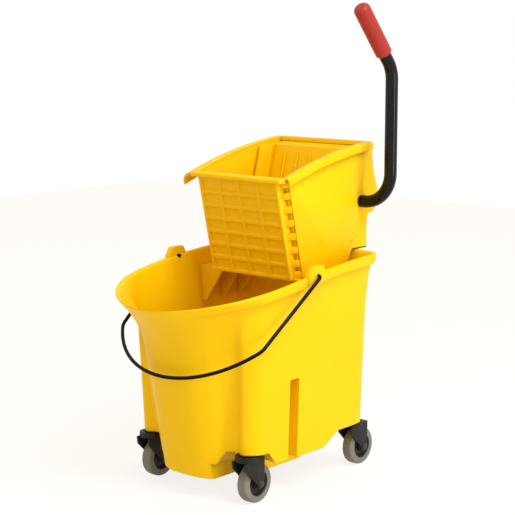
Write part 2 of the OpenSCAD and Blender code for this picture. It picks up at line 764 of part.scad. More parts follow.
module yoke(side) {
    half = roller_r + roller_play;
    rear_x = slot_mid_x + half + yoke_border;
    web_y = side > 0 ? yoke_y : -yoke_y - yoke_t;
    foot_y = side > 0 ? yoke_y - foot_w : -yoke_y - yoke_t;
    color("dimgray")
        difference() {
            union() {
                side_plate([[plate_x(yoke_low_z) + plate_t, yoke_low_z], [rear_x, yoke_low_z],
                    [rear_x, yoke_high_z], [plate_x(yoke_high_z) + plate_t, yoke_high_z]], web_y, yoke_t);
                side_plate(plate_band(plate_t, plate_t + foot_t, yoke_low_z, yoke_high_z), foot_y,
                    foot_w + yoke_t);
            }
            for (z = [slot_low_z, slot_high_z])
                translate([slot_mid_x, web_y + yoke_t + overrun, z])
                    rotate([90, 0, 0])
                        cylinder(r = half, h = yoke_t + 2 * overrun);
            translate([slot_mid_x - half, web_y - overrun, slot_low_z])
                cube([2 * half, yoke_t + 2 * overrun, slot_high_z - slot_low_z]);
            yoke_screw_holes(screw_r + running_gap);
        }
}
module yoke_near() { yoke(-1); }
module yoke_far() { yoke(1); }
module yoke_screws() {
    color("silver")
        for (side = [-1, 1])
            for (z = yoke_screw_zs)
                translate([plate_x(z), side * (yoke_y - foot_w / 2), z])
                    rotate([0, 90 + plate_lean, 0]) {
                        cylinder(r = screw_r, h = yoke_grip);
                        translate([0, 0, yoke_grip])
                            cylinder(r = screw_head_r, h = screw_head_h);
                    }
}

module crank_arm(side) {
    low_y = side > 0 ? arm_y : -arm_y - arm_t;
    color("dimgray")
        translate([shaft_x, low_y + arm_t, shaft_z])
            rotate([90, 0, 0])
                difference() {
                    linear_extrude(arm_t)
                        rotate(-crank_rest) {
                            circle(r = arm_hub_r);
                            translate([0, crank_r])
                                circle(r = arm_end_r);
                            polygon([[-arm_hub_r, 0], [arm_hub_r, 0], [arm_end_r, crank_r],
                                [-arm_end_r, crank_r]]);
                        }
                    translate([0, 0, -overrun])
                        cylinder(r = tube_d / 2 + running_gap, h = arm_t + 2 * overrun);
                    translate([crank_r * sin(crank_rest), crank_r * cos(crank_rest), -overrun])
                        cylinder(r = pin_r + running_gap, h = arm_t + 2 * overrun);
                }
}
module crank_arm_near() { crank_arm(-1); }
module crank_arm_far() { crank_arm(1); }

// Pin from the arm's outer face through the roller, with a head at each end
pin_head_r = 5.5;
pin_head_h = 2;
roller_w = 10;
roller_y = 43.5;
module crank_pin(side) {
    color("silver")
        translate([pin_x, side * (arm_y + arm_t + pin_head_h), pin_z])
            rotate([side * 90, 0, 0]) {
                cylinder(r = pin_head_r, h = pin_head_h);
                cylinder(r = pin_r, h = arm_y + arm_t - roller_y + pin_head_h + seat_gap);
                translate([0, 0, arm_y + arm_t - roller_y + pin_head_h + seat_gap])
                    cylinder(r = pin_head_r, h = pin_head_h);
            }
}
module crank_pin_near() { crank_pin(-1); }
module crank_pin_far() { crank_pin(1); }
module crank_roller(side) {
    color("white")
        translate([pin_x, side * (roller_y + roller_w), pin_z])
            rotate([side * 90, 0, 0])
                difference() {
                    cylinder(r = roller_r, h = roller_w);
                    translate([0, 0, -overrun])
                        cylinder(r = pin_r + running_gap, h = roller_w + 2 * overrun);
                }
}
module crank_roller_near() { crank_roller(-1); }
module crank_roller_far() { crank_roller(1); }

// Lever: one bent tube whose lower end is the shaft across the housing
bend_clear = 11;
low_bend_r = lever_y - cheek_half - bush_flange_t - bend_clear;
high_bend_r = 55;
shaft_end = 6;
shaft_end_y = cheek_half + shaft_end;
grip_start = 22;
tube_tip = 8;
module tube_run(length) {
    difference() {
        cylinder(d = tube_d, h = length);
        translate([0, 0, -overrun])
            cylinder(d = tube_d - 2 * tube_wall, h = length + 2 * overrun);
    }
}
module tube_bend(r, angle) {
    rotate_extrude(angle = angle)
        translate([r, 0])
            difference() {
                circle(d = tube_d);
                circle(d = tube_d - 2 * tube_wall);
            }
}
// Places the children at the end of the upper bend, with Z along the grip
module along_grip() {
    translate([shaft_x, -lever_y, lever_bend_z])
        translate([-high_bend_r, 0, 0])
            rotate([0, -grip_bend, 0])
                translate([high_bend_r, 0, 0])
                    children();
}
module lever_tube() {
    color("#1c1a18") {
        translate([shaft_x, -lever_y + low_bend_r, shaft_z])
            rotate([-90, 0, 0])
                tube_run(lever_y - low_bend_r + shaft_end_y);
        translate([shaft_x, -lever_y + low_bend_r, shaft_z + low_bend_r])
            rotate([0, 90, 0])
                rotate([180, 0, 0])
                    tube_bend(low_bend_r, 90);
        translate([shaft_x, -lever_y, shaft_z + low_bend_r])
            tube_run(lever_bend_z - shaft_z - low_bend_r);
        translate([shaft_x - high_bend_r, -lever_y, lever_bend_z])
            rotate([90, 0, 0])
                tube_bend(high_bend_r, grip_bend);
        along_grip()
            tube_run(grip_start + grip_length - tube_tip);
    }
}

// Grip: a closed sleeve with a round end and a soft mouth
grip_end_r = 9;
grip_mouth_r = 2;
module lever_grip() {
    r = grip_d / 2;
    color("firebrick")
        along_grip()
            translate([0, 0, grip_start])
                rotate_extrude()
                    difference() {
                        union() {
                            translate([0, grip_mouth_r])
                                square([r, grip_length - grip_mouth_r - grip_end_r]);
                            square([r - grip_mouth_r, grip_length]);
                            translate([0, grip_length - grip_end_r])
                                square([r - grip_end_r, grip_end_r]);
                            translate([r - grip_mouth_r, grip_mouth_r])
                                circle(r = grip_mouth_r);
                            intersection() {
                                translate([r - grip_end_r, grip_length - grip_end_r])
                                    circle(r = grip_end_r);
                                square([r, grip_length]);
                            }
                        }
                        translate([-overrun, -overrun])
                            square([tube_d / 2 + running_gap + overrun,
                                grip_length - tube_tip + running_gap + overrun]);
                        translate([r - grip_end_r, grip_length - grip_end_r])
                            difference() {
                                square([grip_end_r + overrun, grip_end_r + overrun]);
                                circle(r = grip_end_r);
                            }
                    }
}

// Flanged bushes in the cheeks, and a cap over the shaft's far end
module shaft_bush(side) {
    color("whitesmoke")
        translate([shaft_x, side * (cheek_half + bush_flange_t), shaft_z])
            rotate([side * 90, 0, 0])
                difference() {
                    union() {
                        cylinder(r = bush_flange_r, h = bush_flange_t);
                        cylinder(r = bush_r, h = bush_flange_t + cheek_t + bush_flange_t);
                    }
                    translate([0, 0, -overrun])
                        cylinder(r = tube_d / 2 + running_gap, h = cheek_t + 2 * bush_flange_t + 2 * overrun);
                }
}
module shaft_bush_near() { shaft_bush(-1); }
module shaft_bush_far() { shaft_bush(1); }
cap_t = 3;
cap_skirt = 3;
module shaft_end_cap() {
    color("#1c1a18")
        translate([shaft_x, shaft_end_y + cap_t, shaft_z])
            rotate([90, 0, 0])
                difference() {
                    cylinder(r = bush_flange_r - cap_t, h = cap_t + cap_skirt);
                    translate([0, 0, cap_t])
                        cylinder(r = tube_d / 2 + running_gap, h = cap_skirt + overrun);
                }
}

// Torsion spring that brings the lever back up, wound round the shaft beside the far crank arm
spring_wire_r = 1.5;
spring_turns = 5;
spring_gap = 0.6;
spring_r = tube_d / 2 + spring_gap + spring_wire_r;
spring_pitch = 5;
spring_clear = 1;
spring_from_y = arm_y + arm_t + pin_head_h + spring_wire_r + spring_clear;
spring_leg = 10;
curl_rings = 16;
spring_sides = 6;
spring_line = concat(
    [[spring_r, -spring_leg, 0]],
    [for (k = [0:spring_turns * curl_rings]) let (a = 360 * k / curl_rings)
        [spring_r * cos(a), spring_r * sin(a), spring_pitch * k / curl_rings]],
    [[spring_r, spring_leg, spring_pitch * spring_turns]]);
// Least gap between the wire of one turn and the next
spring_self_gap = min([for (i = [0:len(spring_line) - 1]) for (j = [i + curl_rings / 2:len(spring_line) - 1])
    norm(spring_line[i] - spring_line[j])]) - 2 * spring_wire_r;
echo(spring_self_gap = spring_self_gap);
module return_spring() {
    n = len(spring_line);
    function frame_at(i) = let (d = spring_line[min(i + 1, n - 1)] - spring_line[max(i - 1, 0)],
        t = d / norm(d), s = cross(t, [0, 0, 1]), u = s / norm(s)) [u, cross(u, t)];
    points = [for (i = [0:n - 1]) let (f = frame_at(i))
        for (k = [0:spring_sides - 1]) let (a = 360 * k / spring_sides)
            spring_line[i] + spring_wire_r * (cos(a) * f[0] + sin(a) * f[1])];
    tube = [for (i = [0:n - 2]) for (k = [0:spring_sides - 1]) let (
        a = i * spring_sides + k, b = i * spring_sides + (k + 1) % spring_sides)
        each [[a, a + spring_sides, b], [b, a + spring_sides, b + spring_sides]]];
    first = [for (k = [0:spring_sides - 1]) k];
    last = [for (k = [spring_sides - 1:-1:0]) (n - 1) * spring_sides + k];
    color("silver")
        translate([shaft_x, spring_from_y, shaft_z])
            rotate([-90, 0, 0])
                polyhedron(points, concat(tube, [first, last]), convexity = 8);
}

// Caster parts, drawn about the stem's axis with the floor at zero
axle_r = 4;
axle_z = wheel_d / 2;
fork_gap = 2;
fork_t = 4;
fork_half = wheel_w / 2 + fork_gap;
fork_top_z = ledge_z - socket_flange_h - seat_gap;
fork_crown_t = 9;
fork_crown_r = 22;
fork_eye_r = 10;
fork_shoulder = 15;
stem_r = stem_d / 2;
stem_h = 30;
core_r = 25;
hub_r = 10;
web_t = 9;
rim_lip_t = 3;
tyre_edge_r = 5;
head_r = 7;
head_h = 3;

module at_caster(c) { translate(concat(stem_at(c), [0])) children(); }
module across_axle() { translate([caster_trail, 0, axle_z]) rotate([90, 0, 0]) children(); }

// Sleeve pressed up into the bucket's boss, with a flange under the ledge
module caster_socket(c) {
    color("gainsboro")
        at_caster(c)
            translate([0, 0, ledge_z - socket_flange_h])
                difference() {
                    union() {
                        cylinder(r = socket_flange_r, h = socket_flange_h);
                        cylinder(r = socket_r, h = socket_flange_h + socket_h - overrun);
                    }
                    translate([0, 0, -overrun])
                        cylinder(r = stem_r + running_gap, h = socket_flange_h + stem_h + 2 * overrun);
                }
}
// Steel stem, riveted through the fork's crown
stem_rivet = 3;
module caster_stem(c) {
    color("silver")
        at_caster(c)
            translate([0, 0, fork_top_z - fork_crown_t])
                union() {
                    cylinder(r = stem_r, h = fork_crown_t + socket_flange_h + stem_h);
                    translate([0, 0, -stem_rivet])
                        cylinder(r = stem_r + stem_rivet, h = stem_rivet);
                }
}
// Fork: a domed crown over two wedge shaped cheeks
module caster_fork(c) {
    low_z = fork_top_z - fork_crown_t;
    crown_from = -fork_crown_r;
    crown_to = caster_trail + fork_eye_r;
    cheek = [[crown_from, low_z], [crown_from + fork_t / 2, low_z - fork_shoulder],
        [caster_trail - fork_eye_r, axle_z], [caster_trail + fork_eye_r, axle_z], [crown_to, low_z]];
    color("#222222")
        at_caster(c)
            difference() {
                union() {
                    translate([0, 0, low_z])
                        cylinder(r = fork_crown_r, h = fork_crown_t);
                    translate([0, -fork_half - fork_t, low_z])
                        cube([crown_to, 2 * (fork_half + fork_t), fork_crown_t - fork_t]);
                    both_plates(cheek, fork_half, fork_t);
                    for (y = [fork_half, -fork_half - fork_t])
                        translate([caster_trail, y + fork_t, axle_z])
                            rotate([90, 0, 0])
                                cylinder(r = fork_eye_r, h = fork_t);
                }
                translate([0, 0, low_z - overrun])
                    cylinder(r = stem_r + running_gap, h = fork_crown_t + 2 * overrun);
                across_axle()
                    translate([0, 0, -fork_half - fork_t - overrun])
                        cylinder(r = axle_r + running_gap, h = 2 * (fork_half + fork_t + overrun));
            }
}
module caster_axle(c) {
    half = fork_half + fork_t;
    color("silver")
        at_caster(c)
            across_axle() {
                translate([0, 0, -half])
                    cylinder(r = axle_r, h = 2 * half);
                for (z = [-half - head_h, half])
                    translate([0, 0, z])
                        cylinder(r = head_r, h = head_h);
            }
}
// Wheel core: hub, thin web and rim, turned about the axle
module caster_wheel_core(c) {
    color("#2b2b2b")
        at_caster(c)
            across_axle()
                rotate_extrude() {
                    translate([axle_r + running_gap, -wheel_w / 2])
                        square([hub_r - axle_r, wheel_w]);
                    translate([axle_r + running_gap, -web_t / 2])
                        square([core_r - axle_r - running_gap, web_t]);
                    translate([core_r - rim_lip_t, -wheel_w / 2 + rim_lip_t / 2])
                        square([rim_lip_t, wheel_w - rim_lip_t]);
                }
}
// Soft tyre with a rounded tread
module caster_tyre(c) {
    color("gray")
        at_caster(c)
            across_axle()
                rotate_extrude() {
                    translate([core_r + running_gap, -wheel_w / 2])
                        square([wheel_d / 2 - tyre_edge_r - core_r - running_gap, wheel_w]);
                    translate([core_r + running_gap, -wheel_w / 2 + tyre_edge_r])
                        square([wheel_d / 2 - core_r - running_gap, wheel_w - 2 * tyre_edge_r]);
                    for (y = [-wheel_w / 2 + tyre_edge_r, wheel_w / 2 - tyre_edge_r])
                        translate([wheel_d / 2 - tyre_edge_r, y])
                            circle(r = tyre_edge_r);
                }
}

bucket();
bail();
wringer_body();
rear_housing();
press_plate();
yoke_near();
yoke_far();
lever_tube();
lever_grip();
shaft_bush_near();
shaft_bush_far();
shaft_end_cap();
crank_arm_near();
crank_arm_far();
crank_pin_near();
crank_pin_far();
crank_roller_near();
crank_roller_far();
return_spring();
housing_screws();
yoke_screws();
for (c = [1:4]) {
    caster_socket(c);
    caster_stem(c);
    caster_fork(c);
    caster_axle(c);
    caster_wheel_core(c);
    caster_tyre(c);
}
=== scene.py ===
"""Looks of the mop bucket with its side press wringer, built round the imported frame."""
import json
from math import acos, atan2, cos, degrees, hypot, pi, radians, sin, sqrt, tan

import bmesh
import bpy
from mathutils import Euler, Matrix, Vector


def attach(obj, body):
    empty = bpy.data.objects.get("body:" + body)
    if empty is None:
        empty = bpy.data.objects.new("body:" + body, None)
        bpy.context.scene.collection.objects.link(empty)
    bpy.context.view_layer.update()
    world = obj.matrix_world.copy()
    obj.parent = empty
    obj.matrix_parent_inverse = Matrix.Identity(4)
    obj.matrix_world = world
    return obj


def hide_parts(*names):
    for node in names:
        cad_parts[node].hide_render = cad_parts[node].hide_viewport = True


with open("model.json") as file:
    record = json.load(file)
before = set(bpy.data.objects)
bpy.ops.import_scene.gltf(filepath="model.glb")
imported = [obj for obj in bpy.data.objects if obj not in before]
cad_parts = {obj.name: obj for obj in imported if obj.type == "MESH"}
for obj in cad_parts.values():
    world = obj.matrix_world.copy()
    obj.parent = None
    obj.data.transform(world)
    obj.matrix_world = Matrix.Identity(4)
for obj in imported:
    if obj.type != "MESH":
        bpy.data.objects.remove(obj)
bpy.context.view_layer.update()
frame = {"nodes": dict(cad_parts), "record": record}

# Sizes below are in millimetres, in the frame of the part, and MM turns them into metres
MM = 0.001

# How far a cutting tool, or a part that is joined to another, runs past the face that it meets
LAP = 1

# Steps of a small round, and widths of rounded edges
CORNER_STEPS = 8
SOFT_THIN = 0.8
SOFT_PANEL = 0.9
SOFT_RIB = 1.0
SOFT_EDGE = 1.2
SOFT_LIP = 1.5

# Bucket
RIM_LENGTH = 512
RIM_WIDTH = 370
RIM_FRONT_Z = 379
RIM_REAR_Z = 440
BOTTOM_Z = 40
BUCKET_WALL = 4
LIP_OUT = 8
LIP_FADE = 130
FOOT_FRONT = 142
FOOT_REAR = 228
FOOT_HALF = 155
ELLIPSE_CENTRE_X = -38
ELLIPSE_TURN_SHARES = (0, 0.19, 0.37, 0.5, 0.6, 0.7, 0.82, 0.97)
RIM_REAR_SHARES = ((0.12, 1), (0.48, 0.98), (0.88, 0.945), (0.985, 0.86), (1, 0.7), (1, 0.3), (1, 0))
FOOT_FRONT_SHARES = ((1, 0), (0.98, 0.245), (0.887, 0.42), (0.745, 0.54), (0.71, 0.66), (0.79, 0.8),
                     (0.66, 0.945), (0.35, 0.987))
FOOT_REAR_SHARES = ((0.13, 1), (0.52, 1), (0.87, 0.99), (0.975, 0.9), (1, 0.72), (1, 0.32), (1, 0))
DRAFT_SHARE = 0.57
FLARE_START_SHARE = 0.7
SPAN_STEPS = 10

# Casters and the room that they swing in
WHEEL_D = 76
WHEEL_W = 23
TRAIL = 22
FRONT_STEM_X = -104
REAR_STEM_X = 218
STEM_HALF = 126
LEDGE_Z = 97
SWING_CLEAR = 4
SWING_R = TRAIL + WHEEL_D / 2 + SWING_CLEAR
SKIRT_Z = 72
SKIRT_HALF = 96
WHEEL_TOP_HALF = 24
ARCH_TOP_R = TRAIL + WHEEL_TOP_HALF - SWING_CLEAR
ARCH_DRAFT = 18
ARCH_LOW_R = ARCH_TOP_R + ARCH_DRAFT
ROOM_CORNER_R = 6
REAR_ARCH_X = 135
REAR_SLANT = 45
STEMS = [(x, y) for x in (FRONT_STEM_X, REAR_STEM_X) for y in (-STEM_HALF, STEM_HALF)]
ROOM_SIDES = 72

# Lever
TUBE_D = 25
SHAFT_X = 262
SHAFT_Z = 537
LEVER_Y = 183
LEVER_BEND_Z = 780
GRIP_BEND = 41
GRIP_LENGTH = 118
GRIP_D = 33
GRIP_START = 22
GRIP_CAP = 8
GRIP_EDGE_R = 2
GRIP_END_R = 11
GRIP_GAP = 0.05
GRIP_RINGS = 6
GRIP_CAP_GAP = 0.1
LOW_BEND_R = 60
HIGH_BEND_R = 55
SHAFT_STOPS_Y = (116, 60, 0, -60)
LEVER_STOPS_Z = (640, 700, 740)
TIP_STEPS = 3

# Bail
WIRE_D = 7
EAR_X = 30
BAIL_LEG = 193
BAIL_REACH = 292
BAIL_HALF = 181
BAIL_HANG = 38
BAIL_TIP = 5
BAIL_BEND_R = 30

# A direction that no swept bar starts along, and how near, in metres, points are one
SWEEP_UP = Vector((0.31, 0.17, 0.93))
WELD_DISTANCE = 0.00002


# Mesh helpers
def new_object(name, mesh):
    obj = bpy.data.objects.new(name, mesh)
    bpy.context.scene.collection.objects.link(obj)
    return obj


def mesh_object(name, points, faces):
    """Object from points in millimetres."""
    mesh = bpy.data.meshes.new(name)
    mesh.from_pydata([tuple(c * MM for c in p) for p in points], [], faces)
    mesh.validate()
    work = bmesh.new()
    work.from_mesh(mesh)
    bmesh.ops.recalc_face_normals(work, faces=work.faces)
    work.to_mesh(mesh)
    work.free()
    return new_object(name, mesh)


def ring_faces(rings, closed):
    """Faces between neighbouring rings with the same number of points."""
    n = len(rings[0])
    faces = []
    for k in range(len(rings) if closed else len(rings) - 1):
        m = (k + 1) % len(rings)
        for i in range(n):
            j = (i + 1) % n
            faces.append((k * n + i, k * n + j, m * n + j, m * n + i))
    return faces


def loft(rings, name="loft"):
    """Closed solid through rings with the same number of points, capped at both ends."""
    n = len(rings[0])
    faces = ring_faces(rings, False)
    faces.append(tuple(range(n))[::-1])
    faces.append(tuple(range((len(rings) - 1) * n, len(rings) * n)))
    return mesh_object(name, [p for ring in rings for p in ring], faces)


def lathe(name, profile, sides):
    """Turned solid about Z from a closed profile of (radius, height) points."""
    rings = []
    for i in range(sides):
        a = 2 * pi * i / sides
        rings.append([(r * cos(a), r * sin(a), z) for r, z in profile])
    obj = mesh_object(name, [p for ring in rings for p in ring], ring_faces(rings, True))
    weld(obj)
    return obj


def round_bar(radius, low, high, sides):
    """Round bar about Z between two heights."""
    return lathe("bar", [(0, low), (radius, low), (radius, high), (0, high)], sides)


def sweep(name, route, radius, sides):
    """Round bar along a route of points, with flat ends."""
    route = [Vector(p) for p in route]
    last = len(route) - 1
    tangents = [(route[min(i + 1, last)] - route[max(i - 1, 0)]).normalized() for i in range(last + 1)]
    normal = (SWEEP_UP - tangents[0] * SWEEP_UP.dot(tangents[0])).normalized()
    rings = []
    for p, t in zip(route, tangents):
        normal = (normal - t * normal.dot(t)).normalized()
        side = t.cross(normal)
        ring = []
        for k in range(sides):
            a = 2 * pi * k / sides
            ring.append(tuple(p + normal * (radius * cos(a)) + side * (radius * sin(a))))
        rings.append(ring)
    return loft(rings, name)


def weld(obj):
    """Joins points that lie in the same place."""
    work = bmesh.new()
    work.from_mesh(obj.data)
    bmesh.ops.remove_doubles(work, verts=work.verts, dist=WELD_DISTANCE)
    bmesh.ops.dissolve_degenerate(work, edges=work.edges, dist=WELD_DISTANCE)
    bmesh.ops.recalc_face_normals(work, faces=work.faces)
    work.to_mesh(obj.data)
    work.free()


def settle(obj):
    """Puts an object's modifiers into its mesh."""
    graph = bpy.context.evaluated_depsgraph_get()
    mesh = bpy.data.meshes.new_from_object(obj.evaluated_get(graph))
    old = obj.data
    obj.modifiers.clear()
    obj.data = mesh
    bpy.data.meshes.remove(old)


def combine(obj, tool, operation="DIFFERENCE"):
    """Cuts obj with tool, or joins them, and removes tool."""
    modifier = obj.modifiers.new("cut", "BOOLEAN")
    modifier.operation = operation
    modifier.solver = "EXACT"
    modifier.object = tool
    settle(obj)
    mesh = tool.data
    bpy.data.objects.remove(tool)
    bpy.data.meshes.remove(mesh)


def soften(obj, width, segments=3, angle=30):
    """Rounds the edges of an object by a width in millimetres."""
    modifier = obj.modifiers.new("soft", "BEVEL")
    modifier.width = width * MM
    modifier.segments = segments
    modifier.limit_method = "ANGLE"
    modifier.angle_limit = radians(angle)
    modifier.harden_normals = False
    settle(obj)


def box(low, high):
    """Box between two corners in millimetres."""
    xs, ys, zs = zip(low, high)
    points = [(x, y, z) for x in xs for y in ys for z in zs]
    faces = [(0, 1, 3, 2), (4, 6, 7, 5), (0, 4, 5, 1), (2, 3, 7, 6), (0, 2, 6, 4), (1, 5, 7, 3)]
    return mesh_object("box", points, faces)


def side_box(side, low, high):
    """Box drawn at the far side, or its mirror image at the near side, where side is -1."""
    ys = sorted((side * low[1], side * high[1]))
    return box((low[0], ys[0], low[2]), (high[0], ys[1], high[2]))


def place(obj, rotation, location):
    """Turns an object by angles in degrees and moves it, in its mesh."""
    turn = Euler([radians(a) for a in rotation]).to_matrix().to_4x4()
    obj.data.transform(Matrix.Translation([c * MM for c in location]) @ turn)
    return obj


def dress(obj, body, nodes, slot, angle=35, material=None):
    """Gives a finished piece smooth shading up to an angle, its material, body and CAD nodes."""
    mesh = obj.data
    mesh.polygons.foreach_set("use_smooth", [True] * len(mesh.polygons))
    mesh.set_sharp_from_angle(angle=radians(angle))
    mesh.materials.clear()
    mesh.materials.append(MATERIALS[material or slot])
    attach(obj, body)
    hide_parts(*nodes)


def joined(name, parts):
    """One object from several closed parts."""
    work = bmesh.new()
    for part in parts:
        work.from_mesh(part.data)
        mesh = part.data
        bpy.data.objects.remove(part)
        bpy.data.meshes.remove(mesh)
    mesh = bpy.data.meshes.new(name)
    work.to_mesh(mesh)
    work.free()
    return new_object(name, mesh)


def prism(outline, low_y, high_y, soft=0.0):
    """Solid with an outline drawn in the side view, between two places across the part."""
    obj = loft([[(x, y, z) for x, z in outline] for y in (low_y, high_y)])
    if soft:
        soften(obj, soft)
    return obj


def rect(low_a, low_b, high_a, high_b):
    """Corners of a rectangle in a plane."""
    return [(low_a, low_b), (high_a, low_b), (high_a, high_b), (low_a, high_b)]


def mirrored(outline, inner_y, thick, soft=0.0):
    """The same prism on both sides of the middle plane."""
    outer_y = inner_y + thick
    return [prism(outline, inner_y, outer_y, soft), prism(outline, -outer_y, -inner_y, soft)]


def arc(centre, radius, start, end, steps):
    """Points on an arc in a plane, by angles in degrees."""
    angles = [radians(start + (end - start) * k / steps) for k in range(steps + 1)]
    return [(centre[0] + radius * cos(a), centre[1] + radius * sin(a)) for a in angles]


# Sockets of a Mix node that blends colours
MIX_FACTOR = 0
MIX_A = 6
MIX_B = 7
MIX_RESULT = 2

# The part of a noise's range that is spread over a range of values, and how fine the noise is
NOISE_LOW = 0.3
NOISE_HIGH = 0.7
ROUGH_PATCHES = 7
ROUGH_DETAIL = 6
BUMP_DETAIL = 3

# Samples of the nodes that look at the shape near a point
EDGE_SAMPLES = 6
CORNER_SAMPLES = 8

# Materials by the name of their slot, and one more for the housing
MATERIALS = {}

# Painted shade in corners: how far it reaches, in millimetres, and its colour
PAINTED_SHADE_REACH = 9
PAINTED_SHADE_YELLOW = (0.62, 0.27, 0.004)


def new_material(name):
    material = bpy.data.materials.new(name)
    material.use_nodes = True
    tree = material.node_tree
    return material, tree, tree.nodes["Principled BSDF"]


def add(tree, kind, **values):
    """New node with its settings and inputs set by name, where a socket as a value is linked."""
    node = tree.nodes.new(kind)
    for key, value in values.items():
        if isinstance(value, bpy.types.NodeSocket):
            tree.links.new(value, node.inputs[key])
        elif key in node.inputs:
            node.inputs[key].default_value = value
        else:
            setattr(node, key, value)
    return node


def noise(tree, coordinates, scale, detail=4, roughness=0.55):
    values = {"Vector": coordinates, "Scale": scale, "Detail": detail, "Roughness": roughness}
    return add(tree, "ShaderNodeTexNoise", **values).outputs["Fac"]


def remap(tree, factor, low, high, from_low=NOISE_LOW, from_high=NOISE_HIGH):
    """Maps a range of a factor onto another, from low to high."""
    limits = {"From Min": from_low, "From Max": from_high, "To Min": low, "To Max": high}
    return add(tree, "ShaderNodeMapRange", Value=factor, **limits).outputs["Result"]


def blend_colour(tree, factor, a, b):
    """Mixes a colour, or the socket of one, with a second colour."""
    node = add(tree, "ShaderNodeMix", data_type="RGBA")
    tree.links.new(factor, node.inputs[MIX_FACTOR])
    if isinstance(a, bpy.types.NodeSocket):
        tree.links.new(a, node.inputs[MIX_A])
    else:
        node.inputs[MIX_A].default_value = (*a, 1)
    node.inputs[MIX_B].default_value = (*b, 1)
    return node.outputs[MIX_RESULT]


def corner_painted_shade(tree, colour, share):
    """Colour painted darker in corners and recesses as painted shade, by a share."""
    corner = add(tree, "ShaderNodeAmbientOcclusion", Distance=PAINTED_SHADE_REACH * MM, samples=CORNER_SAMPLES,
                 only_local=True)
    level = remap(tree, corner.outputs["AO"], share, 0, from_low=0, from_high=1)
    return blend_colour(tree, level, colour, PAINTED_SHADE_YELLOW)


def surface(name, colours, roughness, bumps, metallic=0.0, edge=0.0, specular=0.5, patch=6.0, painted_shade=0.0):
    """Material with patchy colour, varied roughness and layers of bump.

    bumps lists (scale per metre, strength, depth in mm), edge rounds sharp edges in mm, patch is the scale
    of the colour's patches and painted_shade the share of painted shade by which corners are darker.
    """
    material, tree, shader = new_material(name)
    coordinates = add(tree, "ShaderNodeTexCoord").outputs["Object"]
    factor = remap(tree, noise(tree, coordinates, patch), 0, 1)
    colour = blend_colour(tree, factor, *colours)
    # Painted shade: the colour turns darker in corners and recesses, where shade falls
    if painted_shade:
        colour = corner_painted_shade(tree, colour, painted_shade)
    tree.links.new(colour, shader.inputs["Base Color"])
    rough = remap(tree, noise(tree, coordinates, patch * ROUGH_PATCHES, ROUGH_DETAIL), *roughness)
    tree.links.new(rough, shader.inputs["Roughness"])
    shader.inputs["Metallic"].default_value = metallic
    shader.inputs["Specular IOR Level"].default_value = specular
    normal = None
    if edge:
        rounded = add(tree, "ShaderNodeBevel", Radius=edge * MM, samples=EDGE_SAMPLES)
        normal = rounded.outputs["Normal"]
    for scale, strength, depth in bumps:
        height = noise(tree, coordinates, scale, BUMP_DETAIL)
        bump = add(tree, "ShaderNodeBump", Strength=strength, Distance=depth * MM, Height=height)
        if normal:
            tree.links.new(normal, bump.inputs["Normal"])
        normal = bump.outputs["Normal"]
    tree.links.new(normal, shader.inputs["Normal"])
    MATERIALS[name] = material


YELLOW = ((0.93, 0.605, 0.001), (0.96, 0.64, 0.002))
YELLOW_SPECULAR = 0.14
WRINGER_ROUGH = (0.38, 0.5)
WRINGER_BUMPS = [(45, 0.04, 0.8), (800, 0.1, 0.15)]
# The bucket and the wringer get painted shade in their corners; the housing's material is the same yellow
# without it
surface("bucket_plastic", YELLOW, (0.36, 0.48), [(30, 0.04, 1.0), (700, 0.08, 0.15)], edge=2.5,
        specular=YELLOW_SPECULAR, painted_shade=0.5)
surface("wringer_plastic", YELLOW, WRINGER_ROUGH, WRINGER_BUMPS, specular=YELLOW_SPECULAR, painted_shade=0.75)
surface("housing_plastic", YELLOW, WRINGER_ROUGH, WRINGER_BUMPS, specular=YELLOW_SPECULAR)
surface("black_steel", ((0.0025, 0.0025, 0.002), (0.004, 0.004, 0.0035)), (0.08, 0.12),
        [(420, 0.01, 0.1)], specular=0.22, patch=14)
surface("bail_wire", ((0.005, 0.004, 0.003), (0.009, 0.007, 0.005)), (0.24, 0.38),
        [(500, 0.15, 0.1)], specular=0.08, patch=30)
surface("red_vinyl", ((0.36, 0.026, 0.018), (0.42, 0.032, 0.022)), (0.4, 0.52),
        [(120, 0.1, 0.5), (1200, 0.2, 0.12)], specular=0.35, patch=25)
surface("white_nylon", ((0.78, 0.77, 0.72), (0.84, 0.83, 0.79)), (0.35, 0.45),
        [(900, 0.1, 0.1)], edge=0.5, patch=40)
surface("black_plastic", ((0.009, 0.009, 0.008), (0.015, 0.015, 0.013)), (0.4, 0.58),
        [(1500, 0.25, 0.12)], edge=1.0, specular=0.25, patch=40)
surface("hub_plastic", ((0.01, 0.01, 0.01), (0.018, 0.017, 0.016)), (0.38, 0.55),
        [(1500, 0.2, 0.1)], edge=0.8, specular=0.25, patch=40)
surface("grey_steel", ((0.33, 0.33, 0.34), (0.42, 0.42, 0.43)), (0.3, 0.5),
        [(900, 0.15, 0.08)], metallic=1.0, edge=0.6, patch=30)
surface("zinc_steel", ((0.55, 0.55, 0.56), (0.66, 0.66, 0.67)), (0.22, 0.4),
        [(1100, 0.12, 0.06)], metallic=1.0, edge=0.5, patch=60)
surface("yellow_steel", YELLOW, (0.3, 0.45), [(900, 0.1, 0.1)], edge=0.5, specular=0.25, patch=40)
surface("dark_steel", ((0.02, 0.02, 0.02), (0.035, 0.034, 0.033)), (0.3, 0.48),
        [(1100, 0.12, 0.06)], edge=0.4, specular=0.35, patch=60)
surface("grey_tyre", ((0.17, 0.175, 0.17), (0.23, 0.235, 0.225)), (0.5, 0.7),
        [(90, 0.1, 0.4), (1600, 0.25, 0.12)], edge=0.8, specular=0.3, patch=30)

for row in frame["record"]["subparts"]:
    cad = frame["nodes"][row["node"]]
    cad.data.materials.clear()
    cad.data.materials.append(MATERIALS[row["material_slot"]])


